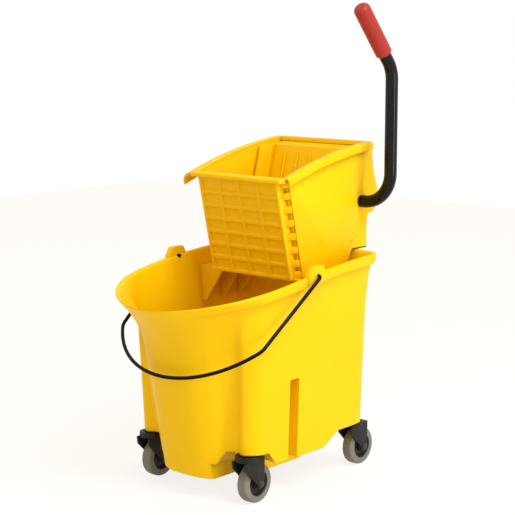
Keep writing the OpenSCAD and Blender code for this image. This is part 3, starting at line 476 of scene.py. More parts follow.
# Bucket outlines
def curve_at(a, b, c, d, t):
    """Point on the smooth span from b to c."""
    point = []
    for p, q, r, s in zip(a, b, c, d):
        square = 2 * p - 5 * q + 4 * r - s
        cube = 3 * q - p - 3 * r + s
        point.append(0.5 * (2 * q + (r - p) * t + square * t ** 2 + cube * t ** 3))
    return tuple(point)


def closed_curve(half):
    """Closed smooth curve through half an outline and its mirror image."""
    points = half + [(x, -y) for x, y in half[-2:0:-1]]
    n = len(points)
    return [curve_at(points[i - 1], points[i], points[(i + 1) % n], points[(i + 2) % n], k / SPAN_STEPS)
            for i in range(n) for k in range(SPAN_STEPS)]


def bucket_outlines():
    """Outlines of the bucket's rim and foot, seen from above."""
    half_x = RIM_LENGTH / 2
    wall_half = RIM_WIDTH / 2 - LIP_OUT
    rear_x = half_x - LIP_OUT
    rim = [(ELLIPSE_CENTRE_X - (half_x + ELLIPSE_CENTRE_X) * cos(pi / 2 * t),
            wall_half * sin(pi / 2 * t)) for t in ELLIPSE_TURN_SHARES]
    rim += [(rear_x * x, wall_half * y) for x, y in RIM_REAR_SHARES]
    foot = [(-FOOT_FRONT * x, FOOT_HALF * y) for x, y in FOOT_FRONT_SHARES]
    foot += [(FOOT_REAR * x, FOOT_HALF * y) for x, y in FOOT_REAR_SHARES]
    return closed_curve(rim), closed_curve(foot)


RIM_LINE, FOOT_LINE = bucket_outlines()


def limit(v):
    return max(0.0, min(1.0, v))


def rim_z(x):
    """Height of the rim, which rises from front to rear."""
    turn = pi / 2 * limit((x + RIM_LENGTH / 2) / RIM_LENGTH)
    return RIM_FRONT_Z + (RIM_REAR_Z - RIM_FRONT_Z) * sin(turn)


def lip_share(x):
    """Share of the full lip, which fades out at the spout."""
    t = limit((x + RIM_LENGTH / 2) / LIP_FADE)
    return t * t * (3 - 2 * t)


def spread(s):
    """How far the skin has gone from the foot's outline to the rim's, at a share of its height."""
    flare = max(0.0, (s - FLARE_START_SHARE) / (1 - FLARE_START_SHARE))
    return DRAFT_SHARE * s + (1 - DRAFT_SHARE) * flare ** 2


def skin_ring(height_share, offset, lip):
    """Ring of the bucket's skin at a share of its height, moved out by offset and by its part of the lip."""
    t = spread(height_share)
    line = [(a[0] + (b[0] - a[0]) * t, a[1] + (b[1] - a[1]) * t) for a, b in zip(FOOT_LINE, RIM_LINE)]
    n = len(line)
    ring = []
    for i, (x, y) in enumerate(line):
        dx = line[(i + 1) % n][0] - line[i - 1][0]
        dy = line[(i + 1) % n][1] - line[i - 1][1]
        length = hypot(dx, dy)
        out = offset + lip * LIP_OUT * lip_share(RIM_LINE[i][0])
        z = BOTTOM_Z + height_share * (rim_z(RIM_LINE[i][0]) - BOTTOM_Z)
        ring.append((x - dy / length * out, y + dx / length * out, z))
    return ring


def caster_rooms(grow):
    """Tools that cut the room for the casters out of the bucket's underside."""
    reach = RIM_LENGTH
    low = -LAP
    tools = []
    for x, y in STEMS[:2]:
        side = 1 if y > 0 else -1
        inset = SWING_R - ROOM_CORNER_R
        corner = (FRONT_STEM_X + inset, STEM_HALF - inset)
        r = ROOM_CORNER_R + grow
        outline = [(-reach, reach), (-reach, corner[1] - ROOM_CORNER_R - grow)]
        outline += arc(corner, r, -90, 0, CORNER_STEPS) + [(corner[0] + ROOM_CORNER_R + grow, reach)]
        heights = (low, SKIRT_Z + grow)
        tools.append(loft([[(px, side * py, z) for px, py in outline] for z in heights]))
        turns = [2 * pi * k / ROOM_SIDES for k in range(ROOM_SIDES)]
        cone = [(ARCH_LOW_R + grow, SKIRT_Z - LAP), (ARCH_TOP_R + grow, LEDGE_Z + grow)]
        rings = [[(x + r * cos(a), y + r * sin(a), z) for a in turns] for r, z in cone]
        tools.append(loft(rings))
    edge = REAR_ARCH_X - grow
    for side in (-1, 1):
        inner = side * (STEM_HALF - SWING_R - grow)
        outline = [(edge - REAR_SLANT, low), (reach, low), (reach, LEDGE_Z + grow), (edge, LEDGE_Z + grow),
                   (edge - REAR_SLANT, SKIRT_Z + grow)]
        tools.append(loft([[(px, y, pz) for px, pz in outline] for y in (inner, side * reach)]))
        tools.append(side_box(side, (-reach, SKIRT_HALF - grow, low), (reach, reach, SKIRT_Z + grow)))
    return tools


# Upright slots in the bucket's sides
SLOT_FROM_X = -18
SLOT_TO_X = 8
SLOT_TOP_Z = 234
SLOT_DEPTH_Y = 121
SLOT_CORNER_R = 6
SLOT_DRAFT = 7


def side_slots(grow):
    """Tools that cut the upright slot into each side, with a top that slopes down inwards."""
    r = SLOT_CORNER_R + grow
    low_x, high_x = SLOT_FROM_X + SLOT_CORNER_R, SLOT_TO_X - SLOT_CORNER_R
    deep = SLOT_DEPTH_Y + SLOT_CORNER_R
    outline = arc((low_x, deep), r, 180, 270, CORNER_STEPS)
    outline += arc((high_x, deep), r, 270, 360, CORNER_STEPS)
    outline += [(high_x + r, RIM_WIDTH), (low_x - r, RIM_WIDTH)]
    slope = SLOT_DRAFT / (RIM_WIDTH / 2 - deep)
    tops = [SLOT_TOP_Z + grow - slope * max(0, RIM_WIDTH / 2 - y) for x, y in outline]
    tools = []
    for side in (-1, 1):
        low_ring = [(x, side * y, -LAP) for x, y in outline]
        high_ring = [(x, side * y, top) for (x, y), top in zip(outline, tops)]
        tools.append(loft([low_ring, high_ring]))
    return tools


# Skin of the bucket: rounds as (share of the height, distance out), then the lip and the well's top
SKIN_STEPS = 44
FOOT_ROUND = ((0, -5), (0.003, -2.4), (0.008, -0.7), (0.015, 0))
WELL_ROUND = ((0.016, -5), (0.018, -3), (0.023, -1), (0.03, 0))
LIP_UNDER_SHARE = 0.945
LIP_UNDER_GAP = 0.001
LIP_UNDER_RISE = 0.006
LIP_UNDER_STEPS = 4
LIP_TOP_SHARE = 0.985
LIP_TOP_RISE = 0.0148
LIP_TOP_R = 5
LIP_TOP_STEPS = 10
WELL_TOP_RISE = 0.0156
WELL_TOP_R = 4
WELL_TOP_LIP = 0.35
WELL_TOP_STEPS = 6
WELL_ABOVE_SHARE = 1.05

# Sockets for the casters, shelves for the wringer and ears for the bail
SOCKET_R = 8.5
SOCKET_H = 36
SOCKET_GAP = 0.05
SOCKET_SIDES = 40
BOSS_WALL = 5
SHELF_FROM_X = 84
SHELF_TO_X = 196
SHELF_T = 6
SHELF_LIP = 12
SHELF_RIB_T = 5
SHELF_DROP = 70
PANEL_HALF = 114
WRINGER_LOW_Z = 400
EAR_BASE = 52
EAR_TOP = 36
EAR_RISE = 17
EAR_DEPTH = 30
EAR_T = 12
EAR_OUT = 3
EAR_CORNER_R = 5
EAR_HOLE_GAP = 0.3
EAR_HOLE_HALF = 30
PIVOT_DROP = 2
PIVOT_Z = rim_z(EAR_X) - PIVOT_DROP


def quarter(steps, first=0):
    """Angles of a quarter turn."""
    return [pi / 2 * k / steps for k in range(first, steps + 1)]


def bucket_body():
    """The bucket's outside as a solid: rounded foot, skin, and a lip with a round top."""
    low = FOOT_ROUND[-1][0]
    rise = LIP_UNDER_SHARE - low
    rings = [skin_ring(share, out, 0) for share, out in FOOT_ROUND]
    rings += [skin_ring(low + rise * k / SKIN_STEPS, 0, 0) for k in range(1, SKIN_STEPS + 1)]
    for k, a in enumerate(quarter(LIP_UNDER_STEPS, 1), 1):
        share = LIP_UNDER_SHARE + LIP_UNDER_GAP + LIP_UNDER_RISE * k / LIP_UNDER_STEPS
        rings.append(skin_ring(share, 0, sin(a)))
    for a in quarter(LIP_TOP_STEPS):
        rings.append(skin_ring(LIP_TOP_SHARE + LIP_TOP_RISE * sin(a), -LIP_TOP_R * (1 - cos(a)), 1))
    return loft(rings, "bucket_shell")


def bucket_well():
    """The bucket's inside as a solid, with a mouth that opens into the lip's round top."""
    low = WELL_ROUND[-1][0]
    rise = LIP_TOP_SHARE - low
    rings = [skin_ring(share, out - BUCKET_WALL, 0) for share, out in WELL_ROUND]
    rings += [skin_ring(low + rise * k / SKIN_STEPS, -BUCKET_WALL, 0) for k in range(1, SKIN_STEPS + 1)]
    for a in quarter(WELL_TOP_STEPS, 1):
        turn = 1 - cos(a)
        share = LIP_TOP_SHARE + WELL_TOP_RISE * sin(a)
        rings.append(skin_ring(share, -BUCKET_WALL + WELL_TOP_R * turn, WELL_TOP_LIP * turn))
    rings.append(skin_ring(WELL_ABOVE_SHARE, 0, WELL_TOP_LIP))
    return loft(rings)


def bucket_supports():
    """Bosses round the caster sockets, and shelves on ribs for the wringer, which stay in the well."""
    reach = RIM_LENGTH
    inner_y = PANEL_HALF - SHELF_LIP
    top = WRINGER_LOW_Z - SHELF_T / 2
    rib_outline = [(inner_y, top), (reach, top), (reach, top - SHELF_DROP),
                   (PANEL_HALF + SHELF_DROP / 2, top - SHELF_DROP)]
    rib_xs = (SHELF_FROM_X, (SHELF_FROM_X + SHELF_TO_X - SHELF_RIB_T) / 2, SHELF_TO_X - SHELF_RIB_T)
    parts = []
    for x, y in STEMS:
        boss = round_bar(SOCKET_R + BOSS_WALL, BOTTOM_Z, LEDGE_Z + SOCKET_H + BOSS_WALL, SOCKET_SIDES)
        parts.append(place(boss, (0, 0, 0), (x, y, 0)))
    for side in (-1, 1):
        low = (SHELF_FROM_X, inner_y, WRINGER_LOW_Z - SHELF_T)
        parts.append(side_box(side, low, (SHELF_TO_X, reach, WRINGER_LOW_Z)))
        for x in rib_xs:
            sides = (x, x + SHELF_RIB_T)
            parts.append(loft([[(px, side * y, z) for y, z in rib_outline] for px in sides]))
    return parts


def add_ears(body):
    """Ear on each side of the rim, with a hole for the bail's tip."""
    ear_y = RIM_WIDTH / 2 + EAR_OUT - EAR_T
    base = rim_z(EAR_X)
    r = EAR_CORNER_R
    outline = [(-EAR_BASE / 2, -EAR_DEPTH / 2), (EAR_BASE / 2, -EAR_DEPTH / 2), (EAR_BASE / 2, 0)]
    outline += arc((EAR_TOP / 2 - r, EAR_RISE - r), r, 30, 90, steps=6)
    outline += arc((-EAR_TOP / 2 + r, EAR_RISE - r), r, 90, 150, steps=6)
    outline += [(-EAR_BASE / 2, 0)]
    for side in (-1, 1):
        faces_y = (ear_y, ear_y + EAR_T)
        ear = loft([[(EAR_X + x, side * y, base + z) for x, z in outline] for y in faces_y])
        soften(ear, SOFT_LIP)
        combine(body, ear, "UNION")
        hole = round_bar(WIRE_D / 2 + EAR_HOLE_GAP, -EAR_HOLE_HALF, EAR_HOLE_HALF, sides=32)
        combine(body, place(hole, (90, 0, 0), (EAR_X, side * (ear_y + EAR_T / 2), PIVOT_Z)))


def make_bucket():
    body = bucket_body()
    well = bucket_well()
    for tool in caster_rooms(BUCKET_WALL) + side_slots(BUCKET_WALL) + bucket_supports():
        combine(well, tool)
    for tool in caster_rooms(0) + side_slots(0):
        combine(body, tool)
    combine(body, well)
    add_ears(body)
    for x, y in STEMS:
        hole = round_bar(SOCKET_R + SOCKET_GAP, 0, SOCKET_H, SOCKET_SIDES)
        combine(body, place(hole, (0, 0, 0), (x, y, LEDGE_Z)))
    dress(body, "frame", ["bucket"], "bucket_plastic", angle=40)


make_bucket()

# Wringer, in its side view
WALL = 4
FRONT_TOP_X = 10
FRONT_TOP_Z = 592
FRONT_LEAN = 12.9
SIDE_FRONT_Z = 602
SIDE_REAR_Z = 656
RIM_ARCH = 8.5
SIDE_REAR_X = 284
RIM_CORNER = 12
REAR_EDGE_SLOPE = 0.267
REAR_EDGE_LOW_X = 231
REAR_EDGE_TOP_Z = 640
SEAT_Z = 446
PANEL_LOW_X = 203
CORNER_STEP = 22
WAFFLE_HALF = 101
FRONT_T = 12
POCKET_DEPTH = 4
POCKET_RIB = 6
POCKET_DRAFT = 2.6
WAFFLE_ROWS = 7
WAFFLE_COLUMNS = 4
WAFFLE_SOFT = 1.3
FRONT_SLOPE = tan(radians(FRONT_LEAN))
WAFFLE_LENGTH = (FRONT_TOP_Z - WRINGER_LOW_Z) / cos(radians(FRONT_LEAN))
ROW_PITCH = (WAFFLE_LENGTH - POCKET_RIB) / WAFFLE_ROWS
COLUMN_PITCH = (2 * WAFFLE_HALF - POCKET_RIB) / WAFFLE_COLUMNS


def front_x(z):
    """Face of the front wall at a height."""
    return FRONT_TOP_X + (FRONT_TOP_Z - z) * FRONT_SLOPE


# Arc of the side panels' top edge
SIDE_FRONT_X = front_x(SIDE_FRONT_Z) + RIM_CORNER
FLANGE_T = 5
ARCH_CHORD = (SIDE_REAR_X - SIDE_FRONT_X, SIDE_REAR_Z - SIDE_FRONT_Z)
ARCH_SPAN = hypot(*ARCH_CHORD)
ARCH_R = (ARCH_SPAN ** 2 / 4 + RIM_ARCH ** 2) / (2 * RIM_ARCH)
ARCH_CENTRE = (SIDE_FRONT_X + ARCH_CHORD[0] / 2 + (ARCH_R - RIM_ARCH) * ARCH_CHORD[1] / ARCH_SPAN,
               SIDE_FRONT_Z + ARCH_CHORD[1] / 2 - (ARCH_R - RIM_ARCH) * ARCH_CHORD[0] / ARCH_SPAN)


def arch_angle(x):
    """Angle, in degrees, at which the arc passes x."""
    return degrees(acos((x - ARCH_CENTRE[0]) / ARCH_R))


def side_arc(from_x, drop, steps):
    """Points along the side's arc to its rear end, at a drop below it."""
    return arc(ARCH_CENTRE, ARCH_R - drop, arch_angle(from_x), arch_angle(SIDE_REAR_X), steps)


def rear_edge_x(z):
    """Rear edge of the side panels at a height."""
    return REAR_EDGE_LOW_X + (z - SEAT_Z) * REAR_EDGE_SLOPE


def on_front(obj):
    """Turns a part drawn upright at the front wall's foot into the wall's lean."""
    return place(obj, (0, -FRONT_LEAN, 0), (front_x(WRINGER_LOW_Z), 0, WRINGER_LOW_Z))


def gap_edges(low, high, margin, count, pitch, bar):
    """Places along a row of gaps between bars: its low end, both edges of each gap, and its high end."""
    edges = [low]
    for k in range(count):
        start = low + margin + k * pitch
        edges += [start, start + pitch - bar]
    return edges + [high]


def waffle_wall():
    """Front wall whose face is a grid of shallow pockets with drafted sides."""
    ys = gap_edges(-WAFFLE_HALF, WAFFLE_HALF, POCKET_RIB, WAFFLE_COLUMNS, COLUMN_PITCH, POCKET_RIB)
    zs = gap_edges(0, WAFFLE_LENGTH, POCKET_RIB, WAFFLE_ROWS, ROW_PITCH, POCKET_RIB)
    points = [(0, y, z) for z in zs for y in ys]
    wide = len(ys)
    faces = []
    for j in range(len(zs) - 1):
        for i in range(wide - 1):
            corner = [j * wide + i, j * wide + i + 1, (j + 1) * wide + i + 1, (j + 1) * wide + i]
            if i % 2 == 1 and j % 2 == 1:
                base = len(points)
                low_y, high_y = ys[i] + POCKET_DRAFT, ys[i + 1] - POCKET_DRAFT
                low_z, high_z = zs[j] + POCKET_DRAFT, zs[j + 1] - POCKET_DRAFT
                points += [(POCKET_DEPTH, y, z) for y, z in rect(low_y, low_z, high_y, high_z)]
                floor_corner = [base, base + 1, base + 2, base + 3]
                faces.append(tuple(floor_corner))
                for k in range(4):
                    m = (k + 1) % 4
                    faces.append((corner[k], corner[m], floor_corner[m], floor_corner[k]))
            else:
                faces.append(tuple(corner))
    base = len(points)
    points += [(FRONT_T, y, z) for y, z in rect(-WAFFLE_HALF, 0, WAFFLE_HALF, WAFFLE_LENGTH)]
    faces.append((base, base + 1, base + 2, base + 3))
    last = (len(zs) - 1) * wide
    faces.append(tuple(range(wide)) + (base + 1, base))
    faces.append(tuple(range(last, last + wide)) + (base + 2, base + 3))
    faces.append(tuple(j * wide for j in range(len(zs))) + (base + 3, base))
    faces.append(tuple(j * wide + wide - 1 for j in range(len(zs))) + (base + 2, base + 1))
    wall = mesh_object("waffle", points, faces)
    soften(wall, WAFFLE_SOFT)
    return on_front(wall)


GUSSET_H = 14
GUSSET_INSET = 0.5
GUSSET_SHIFT = (GUSSET_H - POCKET_RIB) / 2 + GUSSET_INSET


def corner_gussets():
    """Three sided ribs that slant from the front wall's edge out to the side panels."""
    parts = []
    for row in range(WAFFLE_ROWS + 1):
        shift = GUSSET_SHIFT if row == 0 else -GUSSET_SHIFT if row == WAFFLE_ROWS else 0
        low = POCKET_RIB / 2 + row * ROW_PITCH + shift - GUSSET_H / 2
        for side in (-1, 1):
            inner, outer = side * (WAFFLE_HALF - GUSSET_INSET), side * (PANEL_HALF - GUSSET_INSET)
            outline = [(FRONT_T - GUSSET_INSET, inner), (CORNER_STEP + GUSSET_INSET, inner),
                       (CORNER_STEP + GUSSET_INSET, outer)]
            block = loft([[(x, y, z) for x, y in outline] for z in (low, low + GUSSET_H)])
            soften(block, SOFT_EDGE)
            parts.append(on_front(block))
    return parts


def rim_sweep(section, side, from_x):
    """Rolled rim: a section of (distance out, drop) points turned along the side's arc."""
    lines = []
    for out, drop in section:
        lines.append([(x, side * (PANEL_HALF + out), z) for x, z in side_arc(from_x, drop, steps=40)])
    return loft(list(zip(*lines)))


def band(centre, thick):
    """Section of even thickness round a centre line, with a round end."""
    left, right = [], []
    n = len(centre)
    for i, p in enumerate(centre):
        a, b = centre[max(i - 1, 0)], centre[min(i + 1, n - 1)]
        length = hypot(b[0] - a[0], b[1] - a[1])
        nx, ny = -(b[1] - a[1]) / length * thick / 2, (b[0] - a[0]) / length * thick / 2
        left.append((p[0] + nx, p[1] + ny))
        right.append((p[0] - nx, p[1] - ny))
    end = centre[-1]
    turn = degrees(atan2(left[-1][1] - end[1], left[-1][0] - end[0]))
    return left + arc(end, thick / 2, turn, turn - 180, CORNER_STEPS)[1:-1] + right[::-1]


# Rolled rims: a wide one at the far side and a narrow one at the near side
RIM_PROUD = 0.4
NEAR_RIM_FLAT = 4
NEAR_RIM_R = 6
NEAR_RIM_LEG = 8
FAR_RIM_FLAT = 7
FAR_RIM_R = 25
FAR_RIM_LEG = 0
FAR_RIM_AHEAD = 11


def rim_section(flat, r, leg):
    """Strip over the panel's top, a quarter turn and a leg, as (distance out, drop) points."""
    half = FLANGE_T / 2
    centre = [(-WALL - RIM_PROUD, half), (0, half)]
    centre += [(flat + x, r - y) for x, y in arc((0, 0), r - half, 90, 0, steps=12)]
    if leg:
        centre.append((flat + r - half, r + leg))
    return band(centre, FLANGE_T)


def rolled_rims():
    near = rim_sweep(rim_section(NEAR_RIM_FLAT, NEAR_RIM_R, NEAR_RIM_LEG), -1, SIDE_FRONT_X)
    far = rim_sweep(rim_section(FAR_RIM_FLAT, FAR_RIM_R, FAR_RIM_LEG), 1, SIDE_FRONT_X - FAR_RIM_AHEAD)
    for rim in (near, far):
        soften(rim, SOFT_THIN, segments=2, angle=50)
    return [near, far]


# Drain grate
GRATE_T = 4
GRATE_SLOTS = 9
GRATE_BAR = 8
GRATE_MARGIN = 12
INNER_HALF = PANEL_HALF - WALL


def drain_grate():
    """Floor of bars between two cross strips."""
    low_x = front_x(WRINGER_LOW_Z) + FRONT_T - WALL
    pitch = (2 * INNER_HALF - 2 * GRATE_MARGIN + GRATE_BAR) / GRATE_SLOTS
    slot_from = low_x + GRATE_MARGIN + CORNER_STEP
    slot_to = PANEL_LOW_X - GRATE_MARGIN
    z0, z1 = WRINGER_LOW_Z, WRINGER_LOW_Z + GRATE_T
    side_y = INNER_HALF + LAP
    parts = [box((low_x, -side_y, z0), (slot_from, side_y, z1)),
             box((slot_to, -side_y, z0), (PANEL_LOW_X, side_y, z1))]
    edges = gap_edges(-side_y, side_y, GRATE_MARGIN + LAP, GRATE_SLOTS, pitch, GRATE_BAR)
    for a, b in zip(edges[::2], edges[1::2]):
        parts.append(box((slot_from - LAP, a, z0), (slot_to + LAP, b, z1)))
    for part in parts:
        soften(part, SOFT_THIN, segments=2)
    return parts


# Basket's front lip, corner strips, guide ribs and seats of the shaft's bushes
FRONT_FLANGE = 12
FRONT_LIP_R = 5
STRIP_LAP = 2
STRIP_SHORT = 0.4
STRIP_SOFT = 0.5
RIB_Z = 500
RIB_T = 6
RIB_IN = 9
RIB_FROM_X = 86
CHEEK_LAP = 18
BUSH_FLANGE_R = 20
SEAT_GAP = 0.3
SHAFT_HOLE_HALF = 20


def cut_shaft_hole(part, radius, y):
    """Cuts the hole for a bush of the shaft through a wall at y."""
    hole = round_bar(radius, -SHAFT_HOLE_HALF, SHAFT_HOLE_HALF, sides=64)
    combine(part, place(hole, (90, 0, 0), (SHAFT_X, y, SHAFT_Z)))


def front_strip(low, high):
    """Outline that leans with the front wall, between two distances behind its face."""
    return [(front_x(z) + d, z) for d, z in rect(low, WRINGER_LOW_Z, high, FRONT_TOP_Z)]


def make_wringer():
    corner = CORNER_STEP + WALL
    outline = side_arc(SIDE_FRONT_X, FLANGE_T / 2, steps=36)
    outline += [(rear_edge_x(REAR_EDGE_TOP_Z), REAR_EDGE_TOP_Z), (REAR_EDGE_LOW_X, SEAT_Z),
                (PANEL_LOW_X, WRINGER_LOW_Z), (front_x(WRINGER_LOW_Z) + CORNER_STEP, WRINGER_LOW_Z),
                (front_x(FRONT_TOP_Z) + CORNER_STEP, FRONT_TOP_Z)]
    panels = mirrored(outline, PANEL_HALF - WALL, WALL)
    for panel, side in zip(panels, (1, -1)):
        cut_shaft_hole(panel, BUSH_FLANGE_R + SEAT_GAP, side * PANEL_HALF)
        soften(panel, SOFT_PANEL, segments=2)
    parts = panels + [waffle_wall()]
    parts += mirrored(front_strip(FRONT_T - STRIP_LAP, corner), WAFFLE_HALF - WALL, WALL, STRIP_SOFT)
    parts += mirrored(front_strip(CORNER_STEP, corner), WAFFLE_HALF - STRIP_LAP,
                      PANEL_HALF - WAFFLE_HALF + STRIP_LAP - STRIP_SHORT, STRIP_SOFT)
    parts += corner_gussets() + rolled_rims() + drain_grate()
    lip_x = front_x(SIDE_FRONT_Z) - FLANGE_T
    lip = [(lip_x, FRONT_TOP_Z), (SIDE_FRONT_X + FRONT_FLANGE, FRONT_TOP_Z),
           (SIDE_FRONT_X + FRONT_FLANGE, SIDE_FRONT_Z - FLANGE_T / 2), (SIDE_FRONT_X, SIDE_FRONT_Z)]
    lip += arc((lip_x + FRONT_LIP_R, SIDE_FRONT_Z - FRONT_LIP_R), FRONT_LIP_R, 90, 180, steps=10)
    parts.append(prism(lip, -PANEL_HALF, PANEL_HALF, SOFT_LIP))
    rib_to_x = rear_edge_x(RIB_Z) - CHEEK_LAP - SEAT_GAP
    for side in (-1, 1):
        low = (RIB_FROM_X, INNER_HALF - RIB_IN, RIB_Z)
        rib = side_box(side, low, (rib_to_x, INNER_HALF + LAP, RIB_Z + RIB_T))
        soften(rib, SOFT_RIB, segments=2)
        parts.append(rib)
    dress(joined("wringer_basket", parts), "frame", ["wringer_body"], "wringer_plastic")


make_wringer()

# Press plate
PLATE_T = 5
PLATE_LOW_Z = 420
PLATE_LOW_X = 183
PLATE_H = 222
WING_DEEP = 43
WING_T = 6
PLATE_LIP = 33
PLATE_RIB_T = 4
PLATE_RIB_OUT = 3
PLATE_RIBS = 5
PLATE_RIB_INSET = 14
PLATE_GAP = 2
PLATE_LIP_AHEAD = 0.5
GROOVE_GAP = 0.4

# Housing behind the press
HOUSING_X = 284
HOUSING_BULGE = 37
HOUSING_LOW_Z = RIM_REAR_Z + SEAT_GAP
HOUSING_SHARES = ((0, 0), (0, 0.045), (0.05, 0.29), (0.6, 0.335), (0.92, 0.41), (1, 0.52), (0.84, 0.6),
                  (0.55, 0.75), (0.41, 0.915), (0, 1))
HOUSING_STEPS = 6
HOUSING_WALL_SOFT = 1.8
CHEEK_T = 4
CHEEK_SOFT = 1.2
HOOK_GAP = 1
HOOK_T = 4
HOOK_DROP = 24
HOOK_LAP = 2
HOUSING_RIM = 12
BUSH_R = 16
RIM_FLANGE_DROP = 14
PLATE_HALF = INNER_HALF - CHEEK_T - PLATE_GAP


def make_housing():
    height = SIDE_REAR_Z - HOUSING_LOW_Z
    line = [(HOUSING_X + HOUSING_BULGE * x, HOUSING_LOW_Z + height * z) for x, z in HOUSING_SHARES]
    knots = [line[0]] + line + [line[-1]]
    curve = [curve_at(*knots[i:i + 4], k / HOUSING_STEPS)
             for i in range(len(line) - 1) for k in range(HOUSING_STEPS)] + [line[-1]]
    curve = [(max(x, HOUSING_X), z) for x, z in curve]
    cheek = curve + [(rear_edge_x(REAR_EDGE_TOP_Z) - CHEEK_LAP, REAR_EDGE_TOP_Z - RIM_FLANGE_DROP),
                     (REAR_EDGE_LOW_X - CHEEK_LAP, SEAT_Z), (REAR_EDGE_LOW_X, HOUSING_LOW_Z)]
    cheeks = mirrored(cheek, INNER_HALF - CHEEK_T, CHEEK_T)
    for part, side in zip(cheeks, (1, -1)):
        soften(part, CHEEK_SOFT, angle=40)
        cut_shaft_hole(part, BUSH_R, side * INNER_HALF)
    wall_half = INNER_HALF - CHEEK_SOFT
    wall = prism(curve + [(x - WALL, z) for x, z in curve[::-1]], -wall_half, wall_half)
    soften(wall, HOUSING_WALL_SOFT, angle=50)
    hook_x = RIM_LENGTH / 2 + HOOK_GAP
    rim_low_z = PLATE_LOW_Z + PLATE_H + PLATE_T + SEAT_GAP
    shelf = rect(REAR_EDGE_LOW_X, HOUSING_LOW_Z, HOUSING_X, HOUSING_LOW_Z + WALL)
    hook = rect(hook_x, HOUSING_LOW_Z - HOOK_DROP, hook_x + HOOK_T, HOUSING_LOW_Z + HOOK_LAP)
    rim = rect(HOUSING_X - HOUSING_RIM, rim_low_z, HOUSING_X, SIDE_REAR_Z)
    parts = cheeks + [wall]
    for outline, soft in ((shelf, SOFT_THIN), (hook, SOFT_EDGE), (rim, SOFT_LIP)):
        parts.append(prism(outline, -INNER_HALF, INNER_HALF, soft))
    housing = joined("housing_moulded", parts)
    dress(housing, "frame", ["rear_housing"], "wringer_plastic", material="housing_plastic")


make_housing()


def plate_strip(low, high, low_z, high_z):
    """Outline that leans with the press plate, between two distances behind its face."""
    corners = rect(low, low_z, high, high_z)
    return [(PLATE_LOW_X + (z - PLATE_LOW_Z) * REAR_EDGE_SLOPE + d, z) for d, z in corners]


def make_press():
    top = PLATE_LOW_Z + PLATE_H
    top_x = PLATE_LOW_X + PLATE_H * REAR_EDGE_SLOPE
    slab = prism(plate_strip(0, PLATE_T, PLATE_LOW_Z, top), -PLATE_HALF, PLATE_HALF)
    wings = mirrored(plate_strip(-WING_DEEP, LAP, PLATE_LOW_Z, top), PLATE_HALF - WING_T, WING_T)
    groove_low = (0, INNER_HALF - RIB_IN - GROOVE_GAP, RIB_Z - GROOVE_GAP)
    groove_high = (RIM_LENGTH, RIM_LENGTH, RIB_Z + RIB_T + GROOVE_GAP)
    for part, sides in zip([slab] + wings, ((-1, 1), (1,), (-1,))):
        for side in sides:
            combine(part, side_box(side, groove_low, groove_high))
        soften(part, SOFT_EDGE)
    lip_outline = [(top_x - PLATE_LIP_AHEAD, top - LAP), (top_x + PLATE_LIP, top + PLATE_T),
                   (top_x + PLATE_LIP, top), (top_x + PLATE_T, top - PLATE_T)]
    lip = prism(lip_outline, -PLATE_HALF, PLATE_HALF, SOFT_EDGE)
    pitch = 2 * (PLATE_HALF - WING_T) / (PLATE_RIBS + 1)
    rib_outline = plate_strip(-PLATE_RIB_OUT, LAP, PLATE_LOW_Z + PLATE_RIB_INSET, top - PLATE_RIB_INSET)
    ribs = []
    for k in range(1, PLATE_RIBS + 1):
        y = -PLATE_HALF + WING_T + k * pitch
        ribs.append(prism(rib_outline, y - PLATE_RIB_T / 2, y + PLATE_RIB_T / 2, SOFT_PANEL))
    press = joined("press_moulded", [slab, lip] + wings + ribs)
    dress(press, "press", ["press_plate"], "wringer_plastic")


make_press()


# Lever: a bent tube, with a dipped grip
def lever_route():
    """Route of the tube from the shaft's far end to its upper end, and the end of its upper bend."""
    low_bend = arc((-LEVER_Y + LOW_BEND_R, SHAFT_Z + LOW_BEND_R), LOW_BEND_R, 270, 180, steps=24)
    high_bend = arc((SHAFT_X - HIGH_BEND_R, LEVER_BEND_Z), HIGH_BEND_R, 0, GRIP_BEND, steps=16)
    points = [(SHAFT_X, y, SHAFT_Z) for y in SHAFT_STOPS_Y + (-LEVER_Y + LOW_BEND_R + LAP,)]
    points += [(SHAFT_X, y, z) for y, z in low_bend]
    points += [(SHAFT_X, -LEVER_Y, z) for z in LEVER_STOPS_Z]
    points += [(x, -LEVER_Y, z) for x, z in high_bend]
    end = points[-1]
    length = GRIP_START + GRIP_LENGTH - GRIP_CAP
    points += [past_bend(end, length * k / TIP_STEPS) for k in range(1, TIP_STEPS + 1)]
    return points, end


def past_bend(end, length):
    """Point on the tube's upper end, at a length past its bend."""
    a = radians(GRIP_BEND)
    return (end[0] - sin(a) * length, -LEVER_Y, end[2] + cos(a) * length)


route, grip_from = lever_route()
dress(sweep("lever_bar", route, TUBE_D / 2, sides=40), "lever", ["lever_tube"], "black_steel")


def make_grip():
    r = GRIP_D / 2
    inner = TUBE_D / 2 + GRIP_GAP
    floor_z = GRIP_LENGTH - GRIP_CAP + GRIP_CAP_GAP
    edge_r, end_r = GRIP_EDGE_R, GRIP_END_R
    profile = [(inner, 0), (r - edge_r, 0)] + arc((r - edge_r, edge_r), edge_r, -80, 0, steps=6)
    profile += [(r, GRIP_LENGTH * k / GRIP_RINGS) for k in range(1, GRIP_RINGS)]
    profile += arc((r - end_r, GRIP_LENGTH - end_r), end_r, 0, 90, steps=12)
    profile += [(0, GRIP_LENGTH), (0, floor_z), (inner, floor_z)]
    grip = lathe("lever_grip_dipped", profile, sides=64)
    place(grip, (0, -GRIP_BEND, 0), past_bend(grip_from, GRIP_START))
    dress(grip, "lever", ["lever_grip"], "red_vinyl")


make_grip()


# Bail: one wire with a tip in each ear, straight legs and a bow round the front
def turn_of(v):
    """Angle of a direction, in degrees."""
    return degrees(atan2(v.y, v.x))


